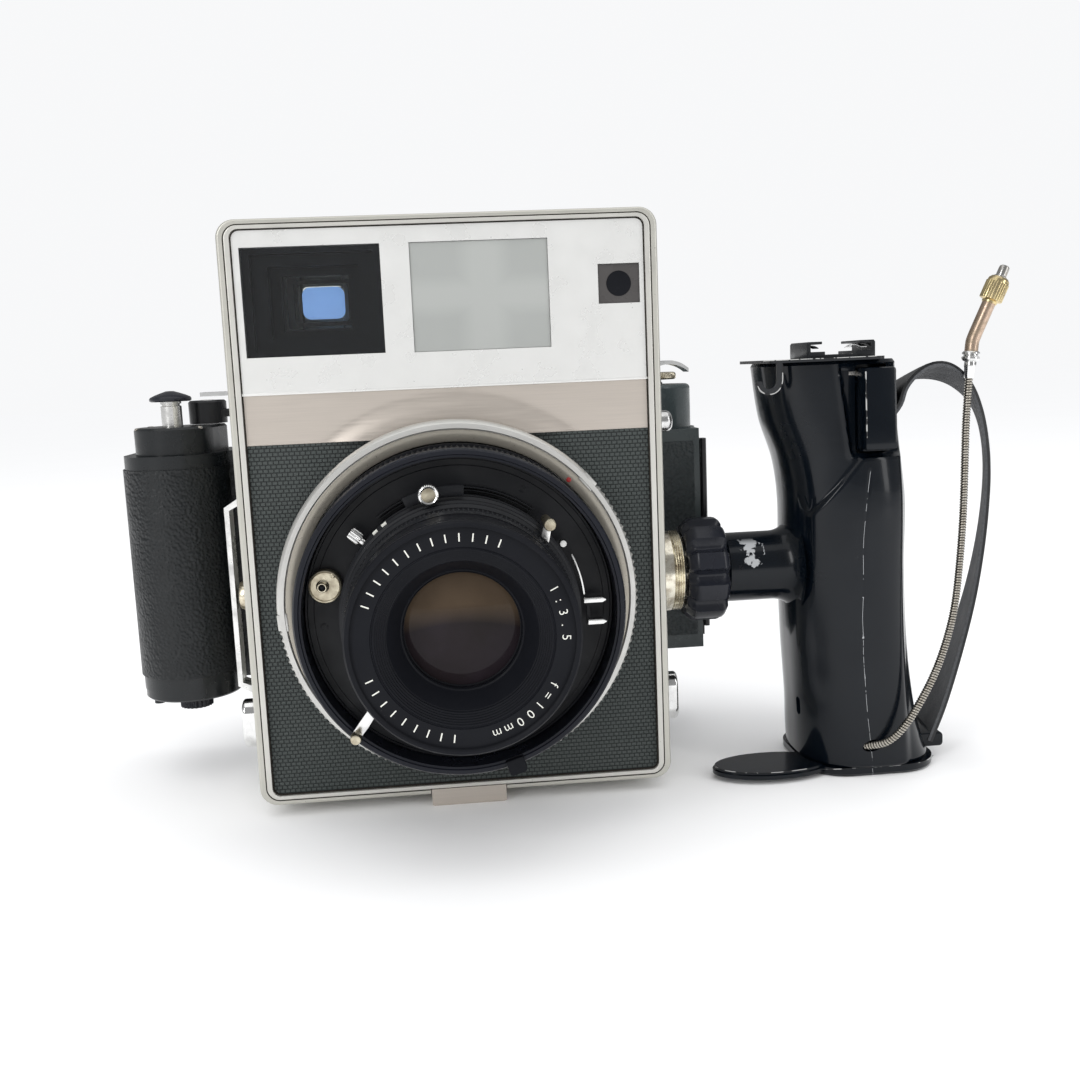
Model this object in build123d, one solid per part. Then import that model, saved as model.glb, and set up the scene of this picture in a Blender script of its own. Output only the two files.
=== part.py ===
"""Press camera with a side grip, roll film back and cable release.

Millimetres. X runs along the camera from the film advance end (-X) to the grip (+X),
Y runs from the lens (-Y) to the film back (+Y), Z is up. The origin is the mouth of
the tripod socket, in the foot of the camera, straight below the lens.
"""
from build123d import *
from math import atan2, cos, degrees, pi, radians, sin, tan
import os

os.makedirs("parts", exist_ok=True)

# ---------------------------------------------------------------- driving dimensions
GAP = 0.3                    # air between pieces that move past each other
FIT = 0.05                   # radial clearance of a shaft in its bore

FACE_Y = -12.0               # front face of the body covering
RIM_Y = FACE_Y - 1.2         # front of the metal rim round the face
PANEL_BACK = FACE_Y + 0.9    # where the face panels lie on the front plate
PLATE_BACK = FACE_Y + 2.9
BODY_REAR = 32.0
BODY_HALF_W = 60.3
BODY_BOTTOM = 3.7
BODY_TOP = 169.0
BODY_MID_Z = (BODY_BOTTOM + BODY_TOP) / 2
BODY_H = BODY_TOP - BODY_BOTTOM
POCKET_HALF_W = 58.5         # pocket in the shell that takes the front plate
POCKET_H = BODY_H - 2.6
PANEL_HALF_W = 56.6
PANEL_BOTTOM = 6.5
PANEL_TOP = 166.3
LEATHER_TOP = 107.7
BAND_TOP = 121.9
WALL = 3.8
REAR_WALL = 2.2

FINDER_WINDOW = (-54.5, -16.6, 131.9, 161.5)      # x0, x1, z0, z1
FROST_WINDOW = (-8.6, 29.6, 131.7, 161.5)
RANGE_WINDOW = (43.4, 55.1, 143.0, 153.9)
EYEPIECE_X, EYEPIECE_Z = -36.5, 148.8
EYEPIECE_W, EYEPIECE_H = 12.8, 9.4

LENS_Z = 62.8                # height of the lens axis
RING_R = 50.2                # breech ring
RING_BACK, RING_FRONT = 14.3, 24.0   # distances ahead of the origin, as all lens parts
BARREL_R = 44.0
MOUNT_BORE_R = 40.5          # opening of the body for the lens
FOCUS_R = 43.8
FOCUS_BORE = 41.4
FOCUS_BACK, FOCUS_FRONT = 26.3, 42.0
PAN_FRONT = 34.0
PAN_BACK = 31.5
HELICOID_R = 38.4
SHUTTER_R = 31.5
SHUTTER_FRONT = 50.0
SPEED_R = 29.6
SPEED_FRONT = 57.0
FRONT_R = 28.6
LENS_FRONT = 70.6
GLASS_R = 14.4
GLASS_FRONT = 58.5

ROD_X, ROD_DZ, ROD_R = 50.5, 38.0, 2.0
FRAME_Y0, FRAME_Y1 = 36.0, 39.8
BELLOWS_HALF_W, BELLOWS_HALF_H = 43.0, 29.5

HOLDER_Y0, HOLDER_Y1 = 40.0, 61.0
HOLDER_Z0, HOLDER_Z1 = 29.5, 104.0
HOLDER_X1 = 83.0
SPLIT_Y = 57.35              # joint between the holder and its back cover
TAKE_UP = (-87.0, 37.5)      # axis of the take-up chamber
SUPPLY = (69.5, 57.5)        # axis of the supply chamber
CHAMBER_R = 15.5
HOLDER_WALL = 1.8
FLOOR = 1.5                  # floor and ceiling of the holder
TOWER_R, TOWER_TOP = 14.2, 118.7     # raised end over the supply chamber
COUNTER_STEM_R = 5.0
SPOOL_KEY_R = 2.0
KNOB_STEM_R = 3.25
HINGE = (-104.5, 59.2)       # axis of the back cover
LEVER = (-77.6, 47.4)        # axis of the film advance lever
SPOOL_FLANGE_R = 12.4
SPOOL_LENGTH = 61.4
SPOOL_MID_Z = HOLDER_Z0 + FLOOR + GAP + SPOOL_LENGTH / 2
GATE_HALF_W, GATE_HALF_H = 42.0, 28.0
SLIDE_Y0, SLIDE_Y1 = 42.1, 42.7

GRIP_Y = 6.0                 # the grip's stem meets the body here, at lens height
STEM_R = 10.6
GRIP_BASE_Z = 2.8
GRIP_TOP_Z = 124.4
SHOE_SLOT = 18.6             # slot of an accessory shoe
SHOE_FOOT = 2.1              # height of the slot
PIN_R = 1.2                  # trigger pin
LOCK_PIVOT = (18.0, 24.0)    # y, z of the rod locks
BUTTON = (8.0, 108.4)        # y, z of the release button
BUTTON_STEM_R = 2.0

# Height, left and right edges, front and back of the grip at each level.
GRIP_SECTIONS = [
    (GRIP_BASE_Z, 103.3, 144.2, -14.6, 27.0),
    (8.0, 102.9, 142.2, -14.4, 26.6),
    (20.0, 102.6, 139.4, -14.0, 26.0),
    (40.0, 101.4, 137.4, -13.0, 25.5),
    (62.0, 100.8, 136.7, -12.4, 25.0),
    (82.0, 100.9, 137.0, -12.0, 24.5),
    (95.0, 99.2, 135.8, -11.4, 24.0),
    (108.0, 95.0, 134.6, -11.0, 23.6),
    (GRIP_TOP_Z, 92.6, 134.0, -11.0, 23.4),
]
SEAM_X = 119.6
TRIGGER_X0, TRIGGER_X1 = 118.4, 128.2
TRIGGER_PIVOT = (-8.6, 120.6)

# Side view of the hand strap's near and far edges, from the top of the grip to its foot.
STRAP_NEAR = [(134.4, 111.0), (136.0, 115.6), (139.5, 119.6), (144.0, 122.0), (149.0, 121.8),
              (153.6, 118.6), (157.6, 112.2), (160.4, 102.0), (161.6, 88.0), (160.6, 70.0), (158.0, 52.0),
              (154.0, 35.0), (149.0, 18.0), (144.2, 5.6)]
STRAP_FAR = [(134.6, 110.0), (137.0, 113.8), (141.6, 116.8), (147.6, 118.2), (154.6, 117.4),
             (160.6, 114.4), (165.8, 109.0), (169.2, 100.0), (170.4, 87.0), (169.0, 70.0), (165.4, 52.0),
             (160.2, 35.0), (153.6, 18.0), (147.4, 5.6)]
STRAP_T, STRAP_Y0, STRAP_Y1 = 2.0, -3.6, 16.0

# Way of the cable release: out of the grip's foot, forwards, then up beside the strap.
CABLE_D = 2.4
CABLE_ROUTE = [(119.2, -13.9, 9.3), (123.2, -16.8, 10.2), (126.9, -18.3, 12.9), (130.5, -18.6, 17.0),
               (134.8, -17.6, 22.7), (139.8, -15.8, 30.0), (144.3, -13.3, 38.2), (148.2, -11.2, 49.0),
               (150.4, -9.4, 62.5), (152.0, -8.0, 77.0), (152.9, -6.7, 92.5), (153.7, -5.4, 107.5),
               (154.9, -5.0, 120.5)]


# ---------------------------------------------------------------- helpers
def block(x0, x1, y0, y1, z0, z1):
    """Box between two corners."""
    return Pos((x0 + x1) / 2, (y0 + y1) / 2, (z0 + z1) / 2) * Box(x1 - x0, y1 - y0, z1 - z0)


def rod_x(r, x0, x1, y, z):
    return Pos((x0 + x1) / 2, y, z) * Rot(0, 90, 0) * Cylinder(r, x1 - x0)


def rod_y(r, y0, y1, x, z):
    return Pos(x, (y0 + y1) / 2, z) * Rot(90, 0, 0) * Cylinder(r, y1 - y0)


def rod_z(r, z0, z1, x, y):
    return Pos(x, y, (z0 + z1) / 2) * Cylinder(r, z1 - z0)


def slab_y(sketch, y0, y1, x=0, z=0):
    """Sketch (its x to X, its y to Z) made solid from y0 to y1."""
    plane = Plane(origin=(x, y1, z), x_dir=(1, 0, 0), z_dir=(0, -1, 0))
    return extrude(plane * sketch, amount=y1 - y0)


def slab_x(sketch, x0, x1):
    """Sketch (its x to Y, its y to Z) made solid from x0 to x1."""
    plane = Plane(origin=(x0, 0, 0), x_dir=(0, 1, 0), z_dir=(1, 0, 0))
    return extrude(plane * sketch, amount=x1 - x0)


def slab_z(sketch, z0, z1):
    return extrude(Pos(0, 0, z0) * sketch, amount=z1 - z0)


def panel(window, y0, y1, grow=0.0, radius=0.0):
    """Flat plate filling a window (x0, x1, z0, z1), larger all round by grow."""
    x0, x1, z0, z1 = window
    width, height = x1 - x0 + 2 * grow, z1 - z0 + 2 * grow
    outline = RectangleRounded(width, height, radius) if radius else Rectangle(width, height)
    return slab_y(outline, y0, y1, (x0 + x1) / 2, (z0 + z1) / 2)


def turned(profile):
    """Solid of revolution on the lens axis from (radius, distance ahead) points."""
    outline = Plane.XZ * make_face(Polyline(*profile, close=True))
    return Pos(0, 0, LENS_Z) * Rot(90, 0, 0) * revolve(outline, Axis.Z)


def ring(r_out, r_in, back, front):
    """Ring on the lens axis between two distances ahead of the origin."""
    return rod_y(r_out, -front, -back, 0, LENS_Z) - rod_y(r_in, -front - 1, -back + 1, 0, LENS_Z)


def toothed(r_out, depth, count, start=0.0, stop=360.0):
    """Round outline with count teeth to the turn between two angles, plain elsewhere."""
    points = []
    for step in range(2 * count):
        angle = 180.0 * step / count
        low = step % 2 == 1 and start <= angle <= stop
        radius = r_out - depth if low else r_out
        points.append((radius * cos(radians(angle)), radius * sin(radians(angle))))
    return make_face(Polyline(*points, close=True))


def at_angle(shape, angle):
    """Turn a shape round the lens axis, anticlockwise as seen from the front."""
    return Pos(0, 0, LENS_Z) * Rot(0, -angle, 0) * Pos(0, 0, -LENS_Z) * shape


def group(*solids):
    """Separate solids that share one node."""
    return Compound(children=[solid for item in solids for solid in item.solids()])


# ---------------------------------------------------------------- camera body
def body_shell():
    shell = slab_y(RectangleRounded(2 * BODY_HALF_W, BODY_H, 5), RIM_Y, BODY_REAR, 0, BODY_MID_Z)
    shell = fillet(shell.faces().sort_by(Axis.Y)[0].edges(), 0.8)
    shell = fillet(shell.faces().sort_by(Axis.Y)[-1].edges(), 1.5)
    pocket = RectangleRounded(2 * POCKET_HALF_W, POCKET_H, 4)
    shell -= slab_y(pocket, RIM_Y - 1, PLATE_BACK, 0, BODY_MID_Z)
    half = BODY_HALF_W - WALL
    shell -= block(-half, half, PLATE_BACK - 1, BODY_REAR - REAR_WALL,
                   BODY_BOTTOM + WALL, BODY_TOP - WALL)
    shell += block(-half, half, PLATE_BACK, BODY_REAR - 1, BAND_TOP - 2, BAND_TOP - 0.5)
    shell -= block(-BELLOWS_HALF_W - 2, BELLOWS_HALF_W + 2, BODY_REAR - 5, BODY_REAR + 1,
                   LENS_Z - BELLOWS_HALF_H - 2, LENS_Z + BELLOWS_HALF_H + 2)
    for x in (-ROD_X, ROD_X):
        for z in (LENS_Z - ROD_DZ, LENS_Z + ROD_DZ):
            shell += rod_y(4.5, 12, BODY_REAR - 1, x, z)
            shell -= rod_y(ROD_R + FIT, 11, BODY_REAR + 1, x, z)
    eyepiece = RectangleRounded(EYEPIECE_W + 0.4, EYEPIECE_H + 0.4, 2)
    shell -= slab_y(eyepiece, BODY_REAR - 4, BODY_REAR + 1, EYEPIECE_X, EYEPIECE_Z)
    shell -= rod_z(6, BODY_BOTTOM - 1, BODY_BOTTOM + WALL + 1, 0, 0)
    shell -= block(-11.2, 11.2, RIM_Y - 1, PLATE_BACK, BODY_BOTTOM - 1, BODY_BOTTOM + 1.7)
    return shell - rod_x(BUTTON_STEM_R, BODY_HALF_W - WALL - 1, BODY_HALF_W + 1, *BUTTON)


def front_plate():
    plate = slab_y(RectangleRounded(2 * POCKET_HALF_W - 0.3, POCKET_H - 0.3, 3.8),
                   RIM_Y, PLATE_BACK, 0, BODY_MID_Z)
    plate = fillet(plate.faces().sort_by(Axis.Y)[0].edges(), 0.5)
    inner = (-PANEL_HALF_W - 0.1, PANEL_HALF_W + 0.1, PANEL_BOTTOM - 0.1, PANEL_TOP + 0.1)
    plate -= panel(inner, RIM_Y - 1, PANEL_BACK, radius=2.5)
    plate -= rod_y(MOUNT_BORE_R, RIM_Y, PLATE_BACK + 1, 0, LENS_Z)
    plate -= block(-11.2, 11.2, RIM_Y - 1, PLATE_BACK + 1, BODY_BOTTOM, BODY_BOTTOM + 1.7)
    for window in (FINDER_WINDOW, FROST_WINDOW, RANGE_WINDOW):
        plate -= panel(window, PANEL_BACK - 1, PLATE_BACK + 1)
    return plate


def top_fascia():
    outline = (-PANEL_HALF_W, PANEL_HALF_W, BAND_TOP + 0.2, PANEL_TOP)
    fascia = panel(outline, FACE_Y - 0.3, PANEL_BACK)
    top_corners = fascia.edges().filter_by(Axis.Y).group_by(Axis.Z)[-1]
    fascia = fillet(top_corners, 2.4)
    for window in (FINDER_WINDOW, FROST_WINDOW, RANGE_WINDOW):
        fascia -= panel(window, FACE_Y - 1, PANEL_BACK + 1)
    return fascia


def face_band():
    band = panel((-PANEL_HALF_W, PANEL_HALF_W, LEATHER_TOP + 0.2, BAND_TOP), FACE_Y, PANEL_BACK)
    return band - rod_y(46.6, FACE_Y - 1, PANEL_BACK + 1, 0, LENS_Z)


def front_leatherette():
    skin = panel((-PANEL_HALF_W, PANEL_HALF_W, PANEL_BOTTOM, LEATHER_TOP), FACE_Y, PANEL_BACK)
    bottom_corners = skin.edges().filter_by(Axis.Y).group_by(Axis.Z)[0]
    skin = fillet(bottom_corners, 2.4)
    return skin - rod_y(46.6, FACE_Y - 1, PANEL_BACK + 1, 0, LENS_Z)


def viewfinder_mask():
    x0, x1, z0, z1 = FINDER_WINDOW
    mask = panel(FINDER_WINDOW, PLATE_BACK + 0.1, PLATE_BACK + 12, grow=1.4)
    for inset, depth in ((2.2, 3.0), (6.5, 7.5), (9.5, 13.0)):
        step = (x0 + inset, x1 - inset, z0 + inset * 0.75, z1 - inset * 0.75)
        mask -= panel(step, PLATE_BACK - 1, PLATE_BACK + depth)
    return mask


def window_pane(window):
    """Pane set flush in a window of the fascia."""
    return panel(window, FACE_Y + 0.2, PLATE_BACK - 1.0, grow=-0.1)


def finder_optics():
    """Eyepiece, the half-silvered plate before it and the small mirror that feeds the plate."""
    lens = RectangleRounded(EYEPIECE_W, EYEPIECE_H, 1.8)
    eyepiece = slab_y(lens, BODY_REAR - 3.5, BODY_REAR + 0.4, EYEPIECE_X, EYEPIECE_Z)
    splitter = Pos(EYEPIECE_X + 1.5, 12, 147.5) * Rot(0, 0, 45) * Box(15, 1, 16)
    mirror_plate = Pos(49.3, 6, 148.4) * Rot(0, 0, 45) * Box(9, 1.5, 10)
    return group(eyepiece, splitter, mirror_plate)


def rangefinder_window():
    x0, x1, z0, z1 = RANGE_WINDOW
    pane = window_pane(RANGE_WINDOW)
    return pane - rod_y(3.5, FACE_Y - 1, FACE_Y + 0.8, (x0 + x1) / 2, (z0 + z1) / 2)


def shoe(x, y0, y1, z, base, lip=0.8, wall=1.2):
    """Accessory shoe open at both ends, its slot along Y."""
    half = SHOE_SLOT / 2
    height = base + SHOE_FOOT + lip
    body = block(x - half - wall, x + half + wall, y0, y1, z, z + height)
    body -= block(x - half, x + half, y0 - 1, y1 + 1, z + base, z + base + SHOE_FOOT)
    return body - block(x - half + 3.6, x + half - 3.6, y0 - 1, y1 + 1, z + base, z + height + 1)


def top_shoe():
    return shoe(0, 14, 30, BODY_TOP, 0.6, lip=0.7)


def tripod_block():
    foot = block(-10.9, 10.9, RIM_Y, 26, 0, BODY_BOTTOM)
    foot += block(-10.9, 10.9, RIM_Y, PLATE_BACK - 0.3, BODY_BOTTOM - 0.5, BODY_BOTTOM + 1.5)
    foot = chamfer(foot.faces().sort_by(Axis.Z)[0].edges(), 0.5)
    foot += rod_z(6 - FIT / 2, BODY_BOTTOM - 0.5, 9.6, 0, 0)
    return foot - rod_z(3.175, -1, 9.0, 0, 0)


def side_stirrup():
    """Flat metal bail that stands off the free side of the body."""
    x, reach = -BODY_HALF_W, 6.4
    path = [(x, 93.5), (x - reach, 89.5), (x - reach, 36.0), (x, 32.5)]
    strip = 1.4
    inner = [(x, 93.5 - 2.4), (x - reach + strip, 88.6), (x - reach + strip, 37.0), (x, 32.5 + 2.4)]
    outline = make_face(Polyline(*path, *reversed(inner), close=True))
    return slab_y(outline, 2.0, 9.0)


def grip_sockets():
    """Threaded socket for a grip on each side of the body; the grip fills one of them."""
    used = rod_x(12.2, BODY_HALF_W, 68.3, GRIP_Y, LENS_Z) + rod_x(9, 68, 70.2, GRIP_Y, LENS_Z)
    for x in (64.6, 65.9, 67.2):
        groove = rod_x(13, x, x + 0.5, GRIP_Y, LENS_Z) - rod_x(11.7, x - 1, x + 1.5, GRIP_Y, LENS_Z)
        used -= groove
    used -= rod_x(4, 60, 71, GRIP_Y, LENS_Z)
    free = rod_x(4.4, -BODY_HALF_W - 4, -BODY_HALF_W, GRIP_Y - 0.5, LENS_Z)
    free -= rod_x(2.4, -BODY_HALF_W - 5, -BODY_HALF_W + 1, GRIP_Y - 0.5, LENS_Z)
    return group(used, free)


def strap_lugs():
    """A straight lug on one side of the body and a curved one on the other."""
    left = block(-BODY_HALF_W - 12.8, -BODY_HALF_W, 14, 22, 121.8, 123.0)
    left -= rod_z(2.2, 120, 125, -BODY_HALF_W - 9, 18)
    x = BODY_HALF_W
    upper = ThreePointArc((x, 122.6), (x + 8, 126.6), (x + 14, 124.0))
    lower = ThreePointArc((x + 14, 122.9), (x + 8, 125.4), (x, 121.4))
    ends = [Line(upper @ 1, lower @ 0), Line(lower @ 1, upper @ 0)]
    right = slab_y(make_face([upper, lower, *ends]), 14, 22)
    return group(left, right)


def bellows():
    """Folded light-tight sleeve between the body and the rear frame."""
    pleats, y0, y1, depth = 5, 15.0, FRAME_Y0 - GAP, 2.2
    pitch = (y1 - y0) / pleats
    sleeve = None
    for index in range(2 * pleats):
        outer = index % 2 == 0
        grow = 0 if outer else -depth
        outline = Rectangle(2 * (BELLOWS_HALF_W + grow), 2 * (BELLOWS_HALF_H + grow))
        y = y0 + index * pitch / 2
        fold = slab_y(outline, y, y + pitch / 2, 0, LENS_Z)
        sleeve = fold if sleeve is None else sleeve + fold
    hole = Rectangle(2 * (BELLOWS_HALF_W - depth - 0.8), 2 * (BELLOWS_HALF_H - depth - 0.8))
    return sleeve - slab_y(hole, y0 - 1, y1 + 1, 0, LENS_Z)


def mount_flange():
    return ring(46.3, MOUNT_BORE_R, -PANEL_BACK, RING_BACK - GAP)


def mount_barrel():
    """Fixed outer barrel: carries the breech ring, the focus ring and the helicoid."""
    bore = HELICOID_R + 0.1
    spigot = MOUNT_BORE_R - FIT
    return turned([(bore, 9.2), (spigot, 9.2), (spigot, RING_BACK), (BARREL_R, RING_BACK),
                   (BARREL_R, FOCUS_BACK - GAP), (FOCUS_BORE - FIT, FOCUS_BACK - GAP),
                   (FOCUS_BORE - FIT, PAN_BACK - 0.4), (bore, PAN_BACK - 0.4)])


# ---------------------------------------------------------------- lens
def breech_ring():
    """Locking ring with a bevelled rim, notched except over its upper left arc."""
    outline = toothed(RING_R, 0.9, 128, 0, 48) + toothed(RING_R, 0.9, 128, 178, 360)
    teeth = slab_y(outline, -RING_FRONT + 1.2, -RING_BACK - 1.0, 0, LENS_Z)
    teeth -= rod_y(RING_R - 1.5, -RING_FRONT, -RING_BACK, 0, LENS_Z)
    core = turned([(BARREL_R + GAP, RING_BACK), (RING_R - 1.0, RING_BACK),
                   (RING_R - 1.0, RING_FRONT - 1.5), (RING_R - 2.2, RING_FRONT), (47.2, RING_FRONT),
                   (46.9, RING_FRONT - 0.6), (46.4, RING_FRONT - 0.6), (46.1, RING_FRONT - 0.2),
                   (BARREL_R + GAP, RING_FRONT - 0.2)])
    return core + teeth


def focus_ring():
    """Knurled ring with a flat front lip and an index tab on its edge."""
    outline = toothed(FOCUS_R, 0.6, 120)
    knurl = slab_y(outline, -FOCUS_FRONT + 1.4, -FOCUS_BACK - 2.0, 0, LENS_Z)
    core = rod_y(FOCUS_R - 0.6, -FOCUS_FRONT, -FOCUS_BACK, 0, LENS_Z)
    solid = core + knurl - rod_y(FOCUS_BORE, -FOCUS_FRONT - 1, 0, 0, LENS_Z)
    tab = block(FOCUS_BORE + 0.6, FOCUS_BORE + 4.6, -FOCUS_FRONT - 1.4, -FOCUS_FRONT + 6,
                LENS_Z - 2.6, LENS_Z + 2.6)
    return solid + at_angle(tab, -73)


def lens_pan():
    """Helicoid tube with the flat dished plate that carries the shutter."""
    return turned([(34.0, 10.0), (HELICOID_R, 10.0), (HELICOID_R, PAN_BACK), (FOCUS_BORE - GAP, PAN_BACK),
                   (FOCUS_BORE - GAP, PAN_FRONT), (20.0, PAN_FRONT), (20.0, PAN_BACK),
                   (34.0, PAN_BACK)])


def shutter_housing():
    """Shutter case, stepped twice towards the front, with the tube for the rear group."""
    return turned([(18.0, 4.0), (19.9, 4.0), (19.9, PAN_FRONT), (SHUTTER_R, PAN_FRONT),
                   (SHUTTER_R, 44.0), (SHUTTER_R - 0.8, 44.8), (30.4, SHUTTER_FRONT - 1.0),
                   (29.4, SHUTTER_FRONT), (26.0, SHUTTER_FRONT), (26.0, SPEED_FRONT),
                   (18.0, SPEED_FRONT)])


def speed_ring():
    """Serrated speed ring that turns on the nose of the shutter."""
    outline = toothed(SPEED_R, 0.5, 110)
    ring_solid = slab_y(outline, -SPEED_FRONT + 0.4, -SHUTTER_FRONT - GAP, 0, LENS_Z)
    return ring_solid - rod_y(26 + FIT, -SPEED_FRONT - 1, 0, 0, LENS_Z)


def front_barrel():
    """Front cell: flat name ring, fine steps, then a smooth cone down to the glass."""
    steps = [(22.0 - 0.62 * n, LENS_FRONT - 0.9 - 0.62 * ((n + 1) // 2 * 1.2)) for n in range(5)]
    return turned([(17.0, SPEED_FRONT + 0.1), (27.6, SPEED_FRONT + 0.1), (FRONT_R, SPEED_FRONT + 1.2),
                   (FRONT_R, LENS_FRONT - 0.7), (FRONT_R - 0.5, LENS_FRONT), (FRONT_R - 1.1, LENS_FRONT),
                   (FRONT_R - 1.5, LENS_FRONT - 0.8), (22.0, LENS_FRONT - 0.8), *steps,
                   (18.9, LENS_FRONT - 4.0), (GLASS_R + 0.2, GLASS_FRONT + 1.0), (GLASS_R + 0.2, 58.0),
                   (17.0, 58.0)])


def front_element():
    """Front glass, a bulged disc with a thick edge."""
    edge = GLASS_FRONT - 1.8
    bulge = turned([(0, 50.0), (GLASS_R, 50.0), (GLASS_R, edge), (GLASS_R * 0.8, edge + 0.9),
                    (GLASS_R * 0.5, edge + 1.6), (0, edge + 2.1)])
    return bulge + ring(16.9, GLASS_R - 0.5, 50.0, 56.5)


def rear_element():
    return rod_y(17.9, -12.0, -6.0, 0, LENS_Z) + rod_y(14, -6.5, -5.0, 0, LENS_Z)


def shutter_blades():
    """Five thin leaves, closed, each a sector of the disc."""
    leaves = []
    sector = make_face(Polyline((0.25, 0), (17.3, -12.3), (17.3, 12.3), close=True))
    for index in range(5):
        leaf = slab_y(sector, -42.25, -42.0, 0, LENS_Z)
        leaf &= rod_y(17.4, -44, -40, 0, LENS_Z)
        leaves.append(at_angle(leaf, 72 * index))
    return group(*leaves)


def shutter_sockets():
    """Two separate sockets of the shutter: the flash contact and the release socket."""
    return group(sync_terminal(), cable_socket())


def sync_terminal():
    """Flash contact: a dished disc on the shutter plate with its coaxial socket."""
    angle, radius = 166.0, 36.2
    disc = rod_y(4.5, -PAN_FRONT - 3.2, -PAN_FRONT, radius, LENS_Z)
    disc = chamfer(disc.faces().sort_by(Axis.Y)[0].edges(), 0.3)
    disc += rod_y(1.5, -PAN_FRONT - 5.4, -PAN_FRONT - 3.0, radius + 0.6, LENS_Z)
    disc -= rod_y(0.9, -PAN_FRONT - 6, -PAN_FRONT - 2.0, radius + 0.6, LENS_Z)
    return at_angle(disc, angle)


def cable_socket():
    """Small knurled release socket on a stub, pointing outwards from the shutter."""
    drum = slab_x(Pos(-PAN_FRONT - 5, LENS_Z) * toothed(1.7, 0.25, 16), SHUTTER_R + 1.2, SHUTTER_R + 4.6)
    stub = rod_x(1.0, SHUTTER_R, SHUTTER_R + 1.4, -PAN_FRONT - 5, LENS_Z)
    return at_angle(drum + stub, 140)


def selector_knob():
    """Flash selector: a small arm round the shutter with a round finger knob."""
    arm = ring(35.0, SHUTTER_R + GAP, 44.6, 46.0) & block(30, 36, -50, -40, LENS_Z - 3.4, LENS_Z + 3.4)
    knob = rod_y(2.7, -50.2, -45.6, 33.4, LENS_Z)
    knob = chamfer(knob.faces().sort_by(Axis.Y)[0].edges(), 0.4)
    return at_angle(arm + knob, 101.5)


def cocking_lever():
    """Shutter cocking lever: an arm from the shutter rim with a finger pin."""
    hub = ring(33.2, SHUTTER_R + GAP, 39.6, 41.6) & block(28, 36, -50, -30, LENS_Z - 5, LENS_Z + 5)
    arm = block(SHUTTER_R + 0.8, 35.6, -42.6, -39.6, LENS_Z - 1.5, LENS_Z + 1.5)
    pin = rod_y(1.75, -47.5, -41.0, 34.6, LENS_Z)
    pin = chamfer(pin.faces().sort_by(Axis.Y)[0].edges(), 0.3)
    return at_angle(hub + arm + pin, 43)


def aperture_lever():
    """Aperture lever: a pointed arm that widens towards the finger pin past the focus ring."""
    outline = make_face(Polyline((32.2, -2.4), (36.5, -2.2), (42.6, -1.3), (42.6, 1.3), (36.5, 0.4),
                                 (32.2, -0.6), close=True))
    arm = slab_y(outline, -44.6, -43.4, 0, LENS_Z)
    hub = ring(33.6, SHUTTER_R + GAP, 42.6, 43.5) & block(28, 36, -50, -30, LENS_Z - 4, LENS_Z + 4)
    pin = rod_y(1.5, -48.0, -43.6, 41.6, LENS_Z)
    return at_angle(arm + hub + pin, 226)


def release_lever():
    """Shutter release: a thin bent strip from the shutter to a pair of finger tabs."""
    strip = ring(33.3, 32.5, 37.6, 38.6) & block(20, 36, -50, -30, LENS_Z + 1, LENS_Z + 14)
    upper = block(32.4, 38.6, -40.6, -37.6, LENS_Z + 1.2, LENS_Z + 2.2)
    lower = block(33.6, 38.6, -40.6, -37.6, LENS_Z - 4.8, LENS_Z - 3.6)
    web = block(33.6, 34.6, -38.8, -37.6, LENS_Z - 4.8, LENS_Z + 2.2)
    return strip + upper + lower + web


# ---------------------------------------------------------------- film back
def holder_outline():
    """Plan of the holder: take-up chamber in front at one end, supply behind at the other."""
    tx, ty = TAKE_UP
    sx, sy = SUPPLY
    flat = Pos((tx + HOLDER_X1) / 2, (HOLDER_Y0 + HOLDER_Y1) / 2) * Rectangle(
        HOLDER_X1 - tx, HOLDER_Y1 - HOLDER_Y0)
    left_end = Pos(tx - CHAMBER_R / 2, (ty + HOLDER_Y1) / 2) * Rectangle(CHAMBER_R, HOLDER_Y1 - ty)
    outline = flat + left_end + Pos(tx, ty) * Circle(CHAMBER_R) + Pos(sx, sy) * Circle(CHAMBER_R)
    return make_face(outline.face().outer_wire())


def in_front(shape):
    return shape & block(-200, 200, -50, SPLIT_Y, 0, 200)


def behind(shape):
    return shape & block(-200, 200, SPLIT_Y + GAP, 120, 0, 200)


def holder_casing():
    outline = holder_outline()
    casing = slab_z(outline, HOLDER_Z0, HOLDER_Z1)
    casing -= slab_z(offset(outline, -HOLDER_WALL), HOLDER_Z0 + FLOOR, HOLDER_Z1 - FLOOR)
    return casing


def hinge_knuckle(z0, z1, bore, web_y0, web_y1):
    """Barrel of the back cover's hinge with the web that joins it to its part."""
    x, y = HINGE
    knuckle = rod_z(1.9, z0, z1, x, y) + block(x - 0.6, x + 4.0, web_y0, web_y1, z0, z1)
    return knuckle - rod_z(bore, z0 - 1, z1 + 1, x, y)


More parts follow.
